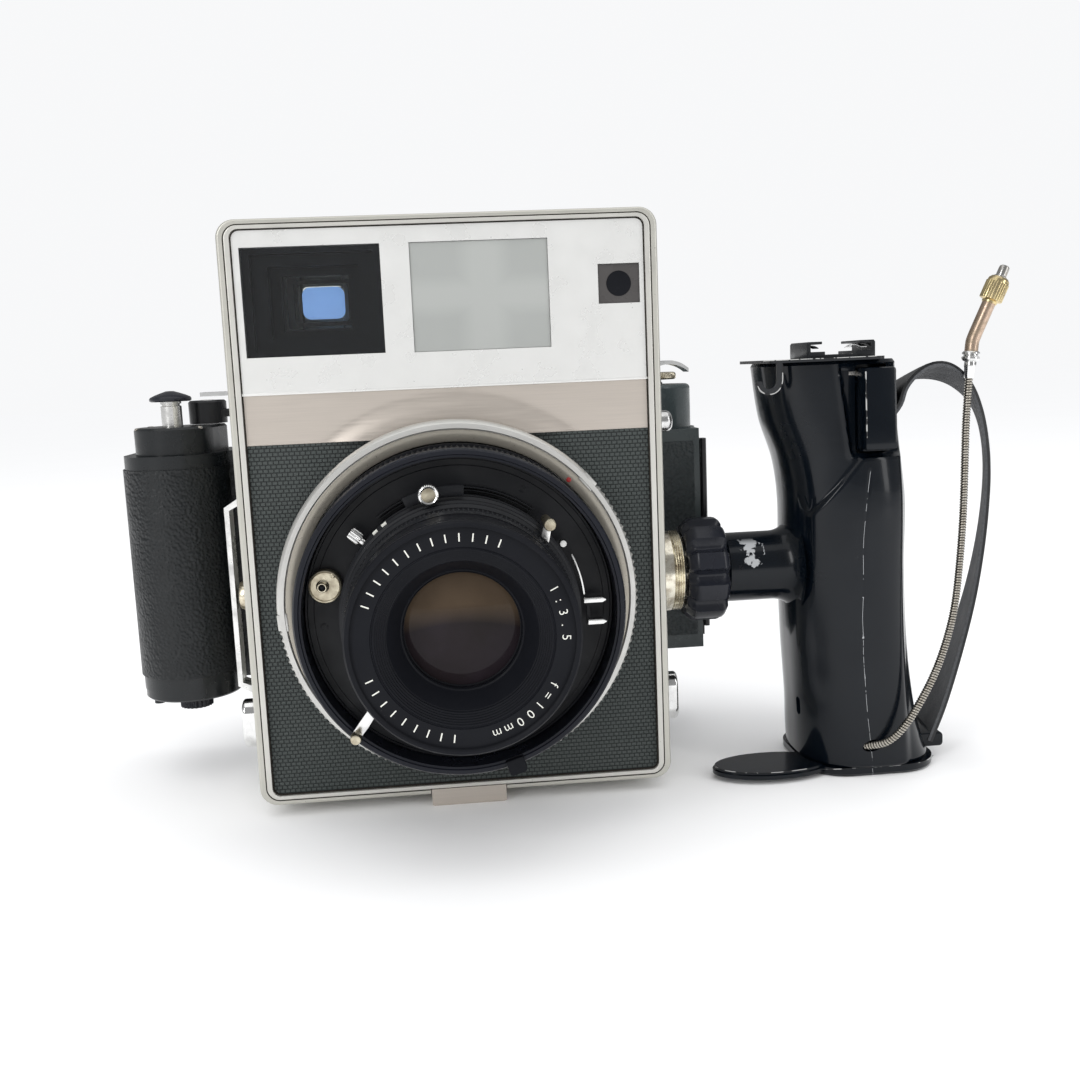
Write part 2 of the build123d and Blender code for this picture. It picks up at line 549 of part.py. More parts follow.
def holder_body():
    body = in_front(holder_casing())
    body -= block(-GATE_HALF_W, GATE_HALF_W, HOLDER_Y0 - 1, HOLDER_Y0 + 3,
                  LENS_Z - GATE_HALF_H, LENS_Z + GATE_HALF_H)
    body -= block(HOLDER_X1 - 4, HOLDER_X1 + 3, SLIDE_Y0 - 0.15, SLIDE_Y1 + 0.15,
                  LENS_Z - 29.8, LENS_Z + 29.8)
    for z0, z1 in ((38, 49.7), (86.3, 98)):
        body += hinge_knuckle(z0, z1, 1.0, SPLIT_Y - 1.6, SPLIT_Y)
    body -= rod_z(SPOOL_KEY_R + FIT, HOLDER_Z0 - 1, HOLDER_Z0 + 3, *TAKE_UP)
    body -= rod_z(KNOB_STEM_R, HOLDER_Z1 - 3, HOLDER_Z1 + 1, *TAKE_UP)
    return body - rod_z(COUNTER_STEM_R + 0.4, HOLDER_Z1 - 3, HOLDER_Z1 + 1, *SUPPLY)


def cap_outline():
    """Raised end of the holder round the take-up knob and the advance lever."""
    tx, ty = TAKE_UP
    return make_hull((Pos(tx + 0.6, ty) * Circle(12.4)).edges() + (Pos(*LEVER) * Circle(5.6)).edges())


def tower():
    """Raised end over the supply chamber, clear of the hinged cover and bored for the counter stem."""
    solid = slab_z(Pos(*SUPPLY) * Circle(TOWER_R), HOLDER_Z1, TOWER_TOP)
    solid = fillet(solid.faces().sort_by(Axis.Z)[-1].edges(), 1.5)
    solid -= block(-200, 200, SPLIT_Y, 120, HOLDER_Z1 - 1, HOLDER_Z1 + GAP)
    return solid - rod_z(COUNTER_STEM_R + 0.4, HOLDER_Z1 - 1, TOWER_TOP + 1, *SUPPLY)


def holder_end_caps():
    tx, ty = TAKE_UP
    left = slab_z(cap_outline(), HOLDER_Z1, 112.5)
    left = chamfer(left.faces().sort_by(Axis.Z)[-1].edges(), 0.7)
    left -= rod_z(KNOB_STEM_R, HOLDER_Z1 - 1, 114, tx, ty)
    low_left = slab_z(Pos(tx, ty) * Circle(CHAMBER_R - 0.2), 26.4, HOLDER_Z0)
    low_left = chamfer(low_left.faces().sort_by(Axis.Z)[0].edges(), 0.6)
    low_left -= rod_z(SPOOL_KEY_R + FIT, 20, HOLDER_Z0 + 1, tx, ty)
    pin = rod_z(1.7, 23.8, 26.4, tx - 11, ty - 3)
    return group(left, tower(), low_left + pin)


def holder_leather():
    """Pebbled covering round both ends of the holder, left off where it meets the frame."""
    outline = holder_outline()
    skin = slab_z(offset(outline, 0.6) - outline, HOLDER_Z0 + 4.6, HOLDER_Z1 - 4.2)
    skin &= block(-200, 200, 0, SPLIT_Y - 4, 0, 200)
    skin -= block(-67.5, 59, 30, 41, 0, 200)
    skin -= block(HOLDER_X1 - 2, HOLDER_X1 + 4, 38, 46, 0, 200)
    left = skin & block(-200, -60, 0, 60, 0, 200)
    right = skin & block(50, 200, 0, 60, 0, 200)
    return group(left, right)


def back_cover():
    """Hinged back with the rear half of the supply chamber."""
    cover = behind(holder_casing())
    cover -= rod_z(COUNTER_STEM_R + 0.4, HOLDER_Z1 - 3, HOLDER_Z1 + 1, *SUPPLY)
    return cover + hinge_knuckle(50, 86, 1.0 + FIT, SPLIT_Y + 2.0, SPLIT_Y + 3.6)


def cover_hinge_pin():
    return rod_z(1.0, 37, 99, *HINGE)


def pressure_plate():
    """Flat plate behind the film, on two leaf springs from the cover."""
    plate = block(-45, 45, 45.0, 46.2, LENS_Z - 30.5, LENS_Z + 30.5)
    for x in (-24, 24):
        plate += block(x - 4, x + 4, 46, HOLDER_Y1 - HOLDER_WALL, LENS_Z - 1, LENS_Z + 1)
    return plate


def spool(axis, key_low, key_high):
    """Film spool: a core between two flanges, keyed to a shaft at each end."""
    x, y = axis
    z0, z1 = SPOOL_MID_Z - SPOOL_LENGTH / 2, SPOOL_MID_Z + SPOOL_LENGTH / 2
    core = rod_z(6, z0, z1, x, y)
    for z in (z0, z1 - 1.4):
        core += rod_z(SPOOL_FLANGE_R, z, z + 1.4, x, y)
    return core + rod_z(SPOOL_KEY_R, key_low, z0 + 1, x, y) + rod_z(2.6, z1 - 1, key_high, x, y)


def take_up_spool():
    """Take-up spool with its ribbed finger knob under the holder; the pull knob keys its top."""
    tx, ty = TAKE_UP
    knob = slab_z(Pos(tx, ty) * toothed(5.2, 0.5, 22), 21.4, 26.1)
    return spool(TAKE_UP, 26.0, 95.2) + knob


def supply_spool():
    """Supply spool, standing on its lower flange, with the key of the counter stem above."""
    return spool(SUPPLY, SPOOL_MID_Z - SPOOL_LENGTH / 2, 102.0)


def counter_wheel():
    """Milled wheel on top of the supply chamber that sets the frame counter."""
    sx, sy = SUPPLY
    wheel = slab_z(Pos(sx, sy) * toothed(9.6, 0.4, 60), 120.4, 122.8)
    return wheel + rod_z(COUNTER_STEM_R, HOLDER_Z1 + 0.5, 121, sx, sy)


def pull_knob():
    """Spool release knob, pulled up: a domed cap on a plain shaft."""
    tx, ty = TAKE_UP
    cap = rod_z(6.4, 120.4, 121.6, tx, ty)
    cap += Pos(tx, ty, 121.6) * Cone(6.4, 3.6, 1.4, align=(Align.CENTER, Align.CENTER, Align.MIN))
    cap += Pos(tx, ty, 123.0) * Cone(3.6, 1.2, 0.7, align=(Align.CENTER, Align.CENTER, Align.MIN))
    return cap + rod_z(KNOB_STEM_R - FIT, 103.0, 120.6, tx, ty)


def advance_lever():
    """Film advance lever: a hub on the end cap and a long arm that lies behind the body."""
    hx, hy = LEVER
    hub = rod_z(6.0, 112.8, 120.2, hx, hy)
    hub = chamfer(hub.faces().sort_by(Axis.Z)[-1].edges(), 0.6)
    arm = make_hull((Pos(hx, hy) * Circle(4.6)).edges() + (Pos(hx + 44, hy + 10) * Circle(3.4)).edges())
    return hub + slab_z(arm, 114.7, 117.1)


def dark_slide():
    """Thin sheet in front of the film with a bar handle outside the holder."""
    sheet = block(-GATE_HALF_W - 1.5, 84.0, SLIDE_Y0, SLIDE_Y1, LENS_Z - 29.5, LENS_Z + 29.5)
    handle = block(83.7, 85.6, 40.6, 44.2, 36.5, 100.5)
    return sheet + chamfer(handle.edges().filter_by(Axis.Z), 0.5)


def rear_frame():
    """Sliding frame on four rods; the film holder locks to its back."""
    frame = slab_y(RectangleRounded(116, 88, 4), FRAME_Y0, FRAME_Y1, 0, LENS_Z + 0.6)
    hole = Rectangle(2 * GATE_HALF_W + 2, 2 * GATE_HALF_H + 2)
    frame -= slab_y(hole, FRAME_Y0 - 1, FRAME_Y1 + 1, 0, LENS_Z)
    for x in (-ROD_X, ROD_X):
        for z in (LENS_Z - ROD_DZ, LENS_Z + ROD_DZ):
            frame -= rod_y(ROD_R, FRAME_Y0 - 1, FRAME_Y1 + 1, x, z)
    return frame


def extension_rods():
    rods = [rod_y(ROD_R, -3, FRAME_Y1, x, z)
            for x in (-ROD_X, ROD_X) for z in (LENS_Z - ROD_DZ, LENS_Z + ROD_DZ)]
    return group(*rods)


def rod_lock(side):
    """Lever that locks the extension rods: a pivot boss and a paddle, side is -1 or +1."""
    x0 = BODY_HALF_W + GAP
    pivot = rod_x(3.0, x0, x0 + 4.0, *LOCK_PIVOT)
    outline = Pos(LOCK_PIVOT[0], LOCK_PIVOT[1] - 4.2) * SlotOverall(15.5, 8.4, rotation=90)
    paddle = slab_x(outline, x0 + 3.6, x0 + 8.2)
    paddle = fillet(paddle.faces().sort_by(Axis.X)[-1].edges(), 1.2)
    lever = pivot + paddle
    return lever if side > 0 else mirror(lever, about=Plane.YZ)


def release_button():
    """Round button on the side of the body."""
    button = rod_x(3.3, BODY_HALF_W + 1.8, BODY_HALF_W + 7.0, *BUTTON)
    button = fillet(button.faces().sort_by(Axis.X)[-1].edges(), 2.0)
    return button + rod_x(BUTTON_STEM_R - FIT, BODY_HALF_W - 6, BODY_HALF_W + 2, *BUTTON)


# ---------------------------------------------------------------- grip
def grip_loft(inset, z_low, z_high):
    """Hand-shaped column through the sections, smaller all round by inset."""
    faces = []
    for z, x0, x1, y0, y1 in GRIP_SECTIONS:
        width, depth = x1 - x0 - 2 * inset, y1 - y0 - 2 * inset
        height = min(max(z, z_low), z_high)
        outline = RectangleRounded(width, depth, 13.0 - inset)
        faces.append(Pos((x0 + x1) / 2, (y0 + y1) / 2, height) * outline)
    return loft(faces)


def cable_exit():
    """Bore in the grip's wall that the cable release comes out of."""
    start, second = Vector(*CABLE_ROUTE[0]), Vector(*CABLE_ROUTE[1])
    return extrude(Plane(origin=start, z_dir=second - start) * Circle(CABLE_D / 2 + FIT), 8)


def grip_column():
    """Whole grip casting: column, stem, and the pockets for the trigger and cable."""
    column = grip_loft(0, GRIP_BASE_Z, GRIP_TOP_Z)
    column += rod_x(STEM_R, 81.4, 106, GRIP_Y, LENS_Z)
    column += Pos(99.5, GRIP_Y, LENS_Z) * Rot(0, 90, 0) * Cone(STEM_R, 14, 4)
    column -= grip_loft(3.0, GRIP_BASE_Z + 1.5, GRIP_TOP_Z - 4)
    column -= block(TRIGGER_X0 - GAP, TRIGGER_X1 + GAP, -20, 0.5, 97.2, 123.0)
    column -= rod_x(PIN_R, TRIGGER_X0 - 2.2, TRIGGER_X1 + 2.2, *TRIGGER_PIVOT)
    column -= cable_exit()
    spigot = rod_x(8.0, 70.5, 81.6, GRIP_Y, LENS_Z) - rod_x(4.2, 70, 90, GRIP_Y, LENS_Z)
    return column + spigot


def grip_body():
    """Half of the casting that carries the stem."""
    return grip_column() & block(60, SEAM_X, -40, 60, 0, 130)


def grip_cover():
    """Half of the casting that lies in the palm."""
    return grip_column() & block(SEAM_X + 0.1, 160, -40, 60, 0, 130)


def base_cap():
    """Foot plate under the grip with an oval tongue towards the camera."""
    z, x0, x1, y0, y1 = GRIP_SECTIONS[0]
    cap = Pos((x0 + x1) / 2, (y0 + y1) / 2, 0) * RectangleRounded(x1 - x0 + 0.3, y1 - y0 + 0.3, 13.1)
    cap = slab_z(cap, 0, GRIP_BASE_Z)
    cap = chamfer(cap.faces().sort_by(Axis.Z)[0].edges(), 0.9)
    tongue = slab_z(Pos(92.5, -6.5) * Ellipse(18, 9.6), 1.6, GRIP_BASE_Z)
    upper = slab_z(Pos(92.5, -6.5) * Ellipse(17.4, 9.0), GRIP_BASE_Z - 0.1, GRIP_BASE_Z + 0.9)
    return cap + tongue + (upper - grip_loft(-0.05, GRIP_BASE_Z, GRIP_TOP_Z))


def shoe_plate():
    """Thin plate on top of the grip, bent down at one corner into a hook for the cable."""
    z0, z1 = GRIP_TOP_Z, GRIP_TOP_Z + 0.9
    plate = block(92.0, 126.0, -13.6, 22.0, z0, z1)
    plate = fillet(plate.edges().filter_by(Axis.Z), 2.0)
    hook_x, hook_z, r_out, r_in = 91.6, 119.4, 3.8, 2.2
    bend = Pos(hook_x, hook_z) * (Circle(r_out) - Circle(r_in))
    bend -= Pos(hook_x - 5, hook_z + 5) * Rectangle(10, 10)
    bend -= Pos(hook_x + 5, hook_z + 5) * Rectangle(10, 10)
    leg = Pos(hook_x + 3.0, (hook_z + z1) / 2) * Rectangle(1.6, z1 - hook_z)
    hook = slab_y(bend + leg, -13.6, -12.4)
    return plate + hook


def grip_shoe():
    return shoe(118.5, 3, 19.5, GRIP_TOP_Z + 0.9, 1.9, lip=0.9, wall=1.3)


def trigger():
    """Rectangular trigger block hung from a pin at its top."""
    lever = block(TRIGGER_X0, TRIGGER_X1, -17.4, -6.2, 98.0, 122.2)
    lever = fillet(lever.faces().sort_by(Axis.Y)[0].edges(), 0.9)
    return lever - rod_x(PIN_R + FIT, TRIGGER_X0 - 1, TRIGGER_X1 + 1, *TRIGGER_PIVOT)


def trigger_pin():
    return rod_x(PIN_R, TRIGGER_X0 - 2.2, TRIGGER_X1 + 2.2, *TRIGGER_PIVOT)


def lock_knob():
    """Lobed locking nut that draws the grip on to its socket."""
    x0, x1, lobes = 68.6, 81.0, 10
    outline = Circle(15.8)
    for index in range(lobes):
        angle = radians(360 / lobes * (index + 0.5))
        outline -= Pos(17.6 * cos(angle), 17.6 * sin(angle)) * Circle(3.3)
    knob = slab_x(Pos(GRIP_Y, LENS_Z) * outline, x0, x1)
    knob &= Pos((x0 + x1) / 2, GRIP_Y, LENS_Z) * Sphere(17.2)
    knob -= rod_x(9.0 + GAP, x0 - 1, 70.2 + GAP, GRIP_Y, LENS_Z)
    return knob - rod_x(8.0 + FIT, x0 - 1, x1 + 1, GRIP_Y, LENS_Z)


def strap_outline(line):
    """Strap seen edge on, as thick as the leather all along a line."""
    centre = Spline(*line)
    inner, outer = [], []
    count = 24
    for step in range(count + 1):
        point, along = centre @ (step / count), centre % (step / count)
        normal = Vector(-along.Y, along.X, 0)
        outer.append(point + normal * (STRAP_T / 2))
        inner.append(point - normal * (STRAP_T / 2))
    edges = [Spline(*outer), Line(outer[-1], inner[-1]), Spline(*reversed(inner)), Line(inner[0], outer[0])]
    return make_face(edges)


def hand_strap():
    """Leather strap arched from the top of the grip to its foot, its far edge leaning outwards."""
    near = Plane(origin=(0, STRAP_Y0, 0), x_dir=(1, 0, 0), z_dir=(0, -1, 0)) * strap_outline(STRAP_NEAR)
    far = Plane(origin=(0, STRAP_Y1, 0), x_dir=(1, 0, 0), z_dir=(0, -1, 0)) * strap_outline(STRAP_FAR)
    return loft([near, far], ruled=True) - grip_loft(-0.02, GRIP_BASE_Z, GRIP_TOP_Z)


# ---------------------------------------------------------------- cable release
def cable_lead():
    """Spiral metal sheath: straight runs joined by arcs as large as the runs allow."""
    points = [Vector(*point) for point in CABLE_ROUTE]
    radii = []
    for before, here, after in zip(points, points[1:], points[2:]):
        turn = radians((here - before).get_angle(after - here))
        shorter = min((here - before).length, (after - here).length)
        radii.append(0.45 * shorter / tan(turn / 2))
    print("cable arc radii, mm:", [round(radius, 1) for radius in radii])
    path = FilletPolyline(*points, radius=radii)
    print("cable length, mm:", round(path.length, 1))
    section = Plane(origin=path @ 0, z_dir=path % 0) * Circle(CABLE_D / 2)
    lead = sweep(section, path=path)
    print("cable volume / (section x length):", round(lead.volume / (pi * CABLE_D ** 2 / 4 * path.length), 4))
    return lead


def cable_fitting():
    """Ferrules, bent sleeve, brass nut and tip at the end of the cable."""
    start = Vector(*CABLE_ROUTE[-1])
    along = (start - Vector(*CABLE_ROUTE[-2])).normalized()
    ferrule_plane = Plane(origin=start, z_dir=along)
    ferrule = extrude(ferrule_plane * Circle(1.65), 2.0)
    ferrule += extrude(ferrule_plane.offset(2.0) * Circle(2.6), 2.8)
    bend_start = start + along * 4.8
    lean = Vector(0.40, -0.05, 0.92).normalized()
    bend = bend_start + along * 3.2
    sleeve_end = bend + lean * 12.0
    sleeve_path = FilletPolyline(bend_start, bend, sleeve_end, radius=5.5)
    sleeve_section = Plane(origin=bend_start, z_dir=along) * Circle(2.0)
    sleeve = sweep(sleeve_section, path=sleeve_path)
    nut_plane = Plane(origin=sleeve_end, z_dir=lean)
    nut = extrude(nut_plane * toothed(3.4, 0.2, 28), 7.6)
    tip = extrude(nut_plane.offset(7.6) * Circle(1.55), 3.8)
    tip = fillet(tip.faces().sort_by(Axis.Z)[-1].edges(), 1.0)
    return group(ferrule, sleeve, nut, tip)


# ---------------------------------------------------------------- write every node
NODES = {
    "body_shell": body_shell,
    "front_plate": front_plate,
    "top_fascia": top_fascia,
    "face_band": face_band,
    "front_leatherette": front_leatherette,
    "viewfinder_mask": viewfinder_mask,
    "viewfinder_glass": lambda: window_pane(FINDER_WINDOW),
    "finder_optics": finder_optics,
    "frosted_window": lambda: window_pane(FROST_WINDOW),
    "rangefinder_window": rangefinder_window,
    "top_shoe": top_shoe,
    "tripod_block": tripod_block,
    "side_stirrup": side_stirrup,
    "grip_sockets": grip_sockets,
    "strap_lugs": strap_lugs,
    "bellows": bellows,
    "mount_flange": mount_flange,
    "mount_barrel": mount_barrel,
    "breech_ring": breech_ring,
    "focus_ring": focus_ring,
    "lens_pan": lens_pan,
    "shutter_housing": shutter_housing,
    "speed_ring": speed_ring,
    "front_barrel": front_barrel,
    "front_element": front_element,
    "rear_element": rear_element,
    "shutter_blades": shutter_blades,
    "shutter_sockets": shutter_sockets,
    "selector_knob": selector_knob,
    "cocking_lever": cocking_lever,
    "aperture_lever": aperture_lever,
    "release_lever": release_lever,
    "rear_frame": rear_frame,
    "extension_rods": extension_rods,
    "holder_body": holder_body,
    "holder_end_caps": holder_end_caps,
    "holder_leather": holder_leather,
    "back_cover": back_cover,
    "cover_hinge_pin": cover_hinge_pin,
    "pressure_plate": pressure_plate,
    "take_up_spool": take_up_spool,
    "supply_spool": supply_spool,
    "counter_wheel": counter_wheel,
    "pull_knob": pull_knob,
    "advance_lever": advance_lever,
    "dark_slide": dark_slide,
    "rod_lock_left": lambda: rod_lock(-1),
    "rod_lock_right": lambda: rod_lock(+1),
    "release_button": release_button,
    "lock_knob": lock_knob,
    "grip_body": grip_body,
    "grip_cover": grip_cover,
    "base_cap": base_cap,
    "shoe_plate": shoe_plate,
    "grip_shoe": grip_shoe,
    "trigger": trigger,
    "trigger_pin": trigger_pin,
    "hand_strap": hand_strap,
    "cable_lead": cable_lead,
    "cable_fitting": cable_fitting,
}

for name, make in NODES.items():
    export_step(make(), f"parts/{name}.step")
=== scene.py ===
"""Looks of the press camera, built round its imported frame. Lengths are in millimetres."""
from math import cos, pi, radians, sin, sqrt

import bmesh
import bpy
from mathutils import Matrix, Vector


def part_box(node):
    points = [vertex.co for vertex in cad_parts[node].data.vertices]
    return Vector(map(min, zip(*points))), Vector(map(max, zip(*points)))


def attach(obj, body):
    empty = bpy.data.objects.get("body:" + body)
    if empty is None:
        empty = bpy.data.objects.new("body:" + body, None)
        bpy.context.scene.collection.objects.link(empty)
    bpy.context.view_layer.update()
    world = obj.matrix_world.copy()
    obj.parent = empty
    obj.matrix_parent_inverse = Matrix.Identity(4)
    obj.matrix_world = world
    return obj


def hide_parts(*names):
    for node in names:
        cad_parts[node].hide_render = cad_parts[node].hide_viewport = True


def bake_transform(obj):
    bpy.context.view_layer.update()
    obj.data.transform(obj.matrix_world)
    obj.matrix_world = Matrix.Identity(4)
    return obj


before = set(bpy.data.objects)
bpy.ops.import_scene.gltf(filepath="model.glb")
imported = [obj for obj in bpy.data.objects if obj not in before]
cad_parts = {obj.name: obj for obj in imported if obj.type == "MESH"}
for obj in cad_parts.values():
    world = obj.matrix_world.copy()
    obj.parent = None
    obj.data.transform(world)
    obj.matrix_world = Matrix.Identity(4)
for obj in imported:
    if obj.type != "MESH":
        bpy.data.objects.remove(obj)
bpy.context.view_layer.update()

MM = 0.001
BODY = "camera_body"
LENS = "lens_unit"
HOLDER = "film_holder"


# ---------------------------------------------------------------- sizes read from the frame
def low(node):
    return Vector(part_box(node)[0]) / MM


def high(node):
    return Vector(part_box(node)[1]) / MM


def middle(node):
    return (low(node) + high(node)) / 2


LENS_Z = middle("front_element").z
PAN_FRONT = -low("lens_pan").y
FOCUS_FRONT = 42.0
FOCUS_BACK = 26.3
RING_BACK = -high("breech_ring").y
RING_FRONT = -low("breech_ring").y
LENS_FRONT = -low("front_barrel").y
TAKE_UP = middle("take_up_spool")
SUPPLY = middle("supply_spool")
GRIP_Y = 6.0
FACE_Y = low("front_leatherette").y


# ---------------------------------------------------------------- camera, light and floor
def make_camera():
    """Camera at three quarters of the body's height, turned a little to the grip and tipped down."""
    data = bpy.data.cameras.new("view_camera")
    data.lens = 38.33
    data.sensor_width = 36.0
    data.clip_start = 0.01
    camera = bpy.data.objects.new("view_camera", data)
    right = Vector((0.99505, -0.08997, -0.04227))
    forward = Vector((0.08285, 0.98560, -0.14741))
    up = right.cross(forward)
    turn = Matrix((right, up, -forward)).transposed().to_4x4()
    camera.matrix_world = Matrix.Translation(Vector((-3.3, -337.6, 125.8)) * MM) @ turn
    bpy.context.scene.collection.objects.link(camera)
    bpy.context.scene.camera = camera


def area_light(name, place, target, size, power, colour=(1, 1, 1)):
    data = bpy.data.lights.new(name, "AREA")
    data.shape = "RECTANGLE"
    data.size, data.size_y = size
    data.energy = power
    data.color = colour
    light = bpy.data.objects.new(name, data)
    light.location = place
    light.rotation_euler = (Vector(target) - Vector(place)).to_track_quat("-Z", "Y").to_euler()
    bpy.context.scene.collection.objects.link(light)


def make_studio():
    """White surroundings, dimmer in reflections than in diffuse light, and three soft lamps."""
    world = bpy.data.worlds.new("studio")
    world.use_nodes = True
    tree = world.node_tree
    path = tree.nodes.new("ShaderNodeLightPath")
    shown = tree.nodes["Background"]
    shown.inputs["Color"].default_value = (0.985, 0.99, 1.0, 1)
    shown.inputs["Strength"].default_value = 1.0
    for ray, strength in (("Is Camera Ray", 0.95), ("Is Glossy Ray", 0.30)):
        other = tree.nodes.new("ShaderNodeBackground")
        other.inputs["Color"].default_value = (0.985, 0.99, 1.0, 1)
        other.inputs["Strength"].default_value = strength
        either = tree.nodes.new("ShaderNodeMixShader")
        tree.links.new(path.outputs[ray], either.inputs[0])
        tree.links.new(shown.outputs[0], either.inputs[1])
        tree.links.new(other.outputs[0], either.inputs[2])
        shown = either
    tree.links.new(shown.outputs[0], tree.nodes["World Output"].inputs["Surface"])
    bpy.context.scene.world = world
    bpy.context.scene.view_settings.view_transform = "Standard"
    area_light("overhead", (0.05, -0.1, 0.95), (0.05, 0, 0.05), (1.3, 0.9), 3.0)
    area_light("front_left", (-0.75, -0.85, 0.6), (0, 0, 0.07), (0.28, 0.7), 4.2)
    area_light("front_right", (0.8, -0.6, 0.45), (0.08, 0, 0.07), (0.18, 0.8), 1.8)
    mesh = bpy.data.meshes.new("floor")
    reach = 6.0
    mesh.from_pydata([(-reach, -reach, 0), (reach, -reach, 0), (reach, reach, 0), (-reach, reach, 0)],
                     [], [(0, 1, 2, 3)])
    floor = bpy.data.objects.new("floor", mesh)
    look = Shader("floor_paper", (0.93, 0.93, 0.935), 1.0, 0.0, Specular_IOR_Level=0.0)
    soft = look.noise(6, 3)
    look.colour(look.mix(soft, (0.94, 0.94, 0.945), (0.96, 0.96, 0.96)))
    look.bump(look.noise(90, 4), 0.25, 0.4)
    mesh.materials.append(look.material)
    bpy.context.scene.collection.objects.link(floor)


# ---------------------------------------------------------------- material helpers
class Shader:
    """One material's node tree, with a short call for each node that repeats."""

    def __init__(self, name, colour, rough, metal=0.0, **sockets):
        self.material = bpy.data.materials.new(name)
        self.material.use_nodes = True
        self.tree = self.material.node_tree
        self.shader = self.tree.nodes["Principled BSDF"]
        self.shader.inputs["Base Color"].default_value = (*colour, 1)
        self.shader.inputs["Roughness"].default_value = rough
        self.shader.inputs["Metallic"].default_value = metal
        for socket, value in sockets.items():
            self.shader.inputs[socket.replace("_", " ")].default_value = value
        self.place = self.tree.nodes.new("ShaderNodeTexCoord").outputs["Object"]

    def plug(self, value, socket):
        """Feed a socket from another socket, or set it to a value."""
        if isinstance(value, bpy.types.NodeSocket):
            self.tree.links.new(value, socket)
        elif isinstance(value, tuple) and len(value) == 3 and socket.type == "RGBA":
            socket.default_value = (*value, 1)
        else:
            socket.default_value = value

    def math(self, kind, a, b=0.0, c=0.0):
        node = self.tree.nodes.new("ShaderNodeMath")
        node.operation = kind
        for value, socket in zip((a, b, c), node.inputs):
            self.plug(value, socket)
        return node.outputs[0]

    def axis(self, letter, scale=1000.0):
        """One coordinate of the piece, in millimetres."""
        node = self.tree.nodes.new("ShaderNodeSeparateXYZ")
        self.plug(self.place, node.inputs[0])
        return self.math("MULTIPLY", node.outputs[letter], scale)

    def vector(self, x, y, z=0.0):
        node = self.tree.nodes.new("ShaderNodeCombineXYZ")
        for value, socket in zip((x, y, z), node.inputs):
            self.plug(value, socket)
        return node.outputs[0]

    def noise(self, scale, detail=4.0, rough=0.55, stretch=None):
        """Noise of a feature size of about 1/scale metres, stretched along the axes if asked."""
        node = self.tree.nodes.new("ShaderNodeTexNoise")
        node.inputs["Scale"].default_value = scale
        node.inputs["Detail"].default_value = detail
        node.inputs["Roughness"].default_value = rough
        if stretch:
            mapping = self.tree.nodes.new("ShaderNodeMapping")
            mapping.inputs["Scale"].default_value = stretch
            self.plug(self.place, mapping.inputs["Vector"])
            self.plug(mapping.outputs[0], node.inputs["Vector"])
        else:
            self.plug(self.place, node.inputs["Vector"])
        return node.outputs["Fac"]

    def cells(self, scale, feature="F1"):
        node = self.tree.nodes.new("ShaderNodeTexVoronoi")
        node.feature = feature
        node.inputs["Scale"].default_value = scale
        self.plug(self.place, node.inputs["Vector"])
        return node.outputs["Distance"]

    def between(self, value, start, stop, low_value=0.0, high_value=1.0):
        """Value mapped so that start gives low_value and stop gives high_value, held beyond them."""
        node = self.tree.nodes.new("ShaderNodeMapRange")
        for item, socket in zip((value, start, stop, low_value, high_value), node.inputs):
            self.plug(item, socket)
        return node.outputs[0]

    def mix(self, factor, a, b):
        node = self.tree.nodes.new("ShaderNodeMix")
        node.data_type = "RGBA"
        self.plug(factor, node.inputs["Factor"])
        self.plug(a, node.inputs[6])
        self.plug(b, node.inputs[7])
        return node.outputs[2]

    def colour(self, value):
        self.plug(value, self.shader.inputs["Base Color"])

    def rough(self, value):
        self.plug(value, self.shader.inputs["Roughness"])

    def bump(self, height, strength, distance):
        """Add relief, its distance in millimetres."""
        node = self.tree.nodes.new("ShaderNodeBump")
        node.inputs["Strength"].default_value = strength
        node.inputs["Distance"].default_value = distance * MM
        self.plug(height, node.inputs["Height"])
        before = self.shader.inputs["Normal"].links
        if before:
            self.plug(before[0].from_socket, node.inputs["Normal"])
        self.plug(node.outputs[0], self.shader.inputs["Normal"])


# ---------------------------------------------------------------- materials
def satin_paint(name, base, other, rough, specks=None, metal=0.0, grain=0.06, rare=0.69):
    """Painted or plated metal: clouded colour, fine grain, and small specks of wear."""
    look = Shader(name, base, rough, metal)
    tone = look.mix(look.noise(60, 4), base, other)
    if specks:
        spots = look.between(look.noise(950, 3, 0.7), rare, rare + 0.05)
        patchy = look.between(look.noise(45, 2), 0.45, 0.62)
        tone = look.mix(look.math("MULTIPLY", spots, patchy), tone, specks)
    look.colour(tone)
    look.rough(look.between(look.noise(140, 3), 0.3, 0.7, rough - 0.06, rough + 0.08))
    look.bump(look.noise(2600, 2), grain, 0.06)
    return look


def brushed(name, base, rough, stretch, metal=1.0):
    """Metal brushed along one direction."""
    look = Shader(name, base, rough, metal)
    lines = look.noise(900, 3, 0.6, stretch)
    darker = tuple(part * 0.82 for part in base)
    look.colour(look.mix(lines, darker, base))
    look.rough(look.between(lines, 0.3, 0.7, rough - 0.08, rough + 0.1))
    look.bump(lines, 0.12, 0.03)
    return look


def chrome_look(name, base=(0.83, 0.83, 0.82), rough=0.16):
    look = Shader(name, base, rough, 1.0)
    haze = look.noise(220, 4)
    look.colour(look.mix(look.between(haze, 0.45, 0.75), base, tuple(part * 0.72 for part in base)))
    look.rough(look.between(haze, 0.3, 0.7, rough * 0.7, rough * 1.8))
    look.bump(look.noise(1500, 2), 0.05, 0.03)
    return look


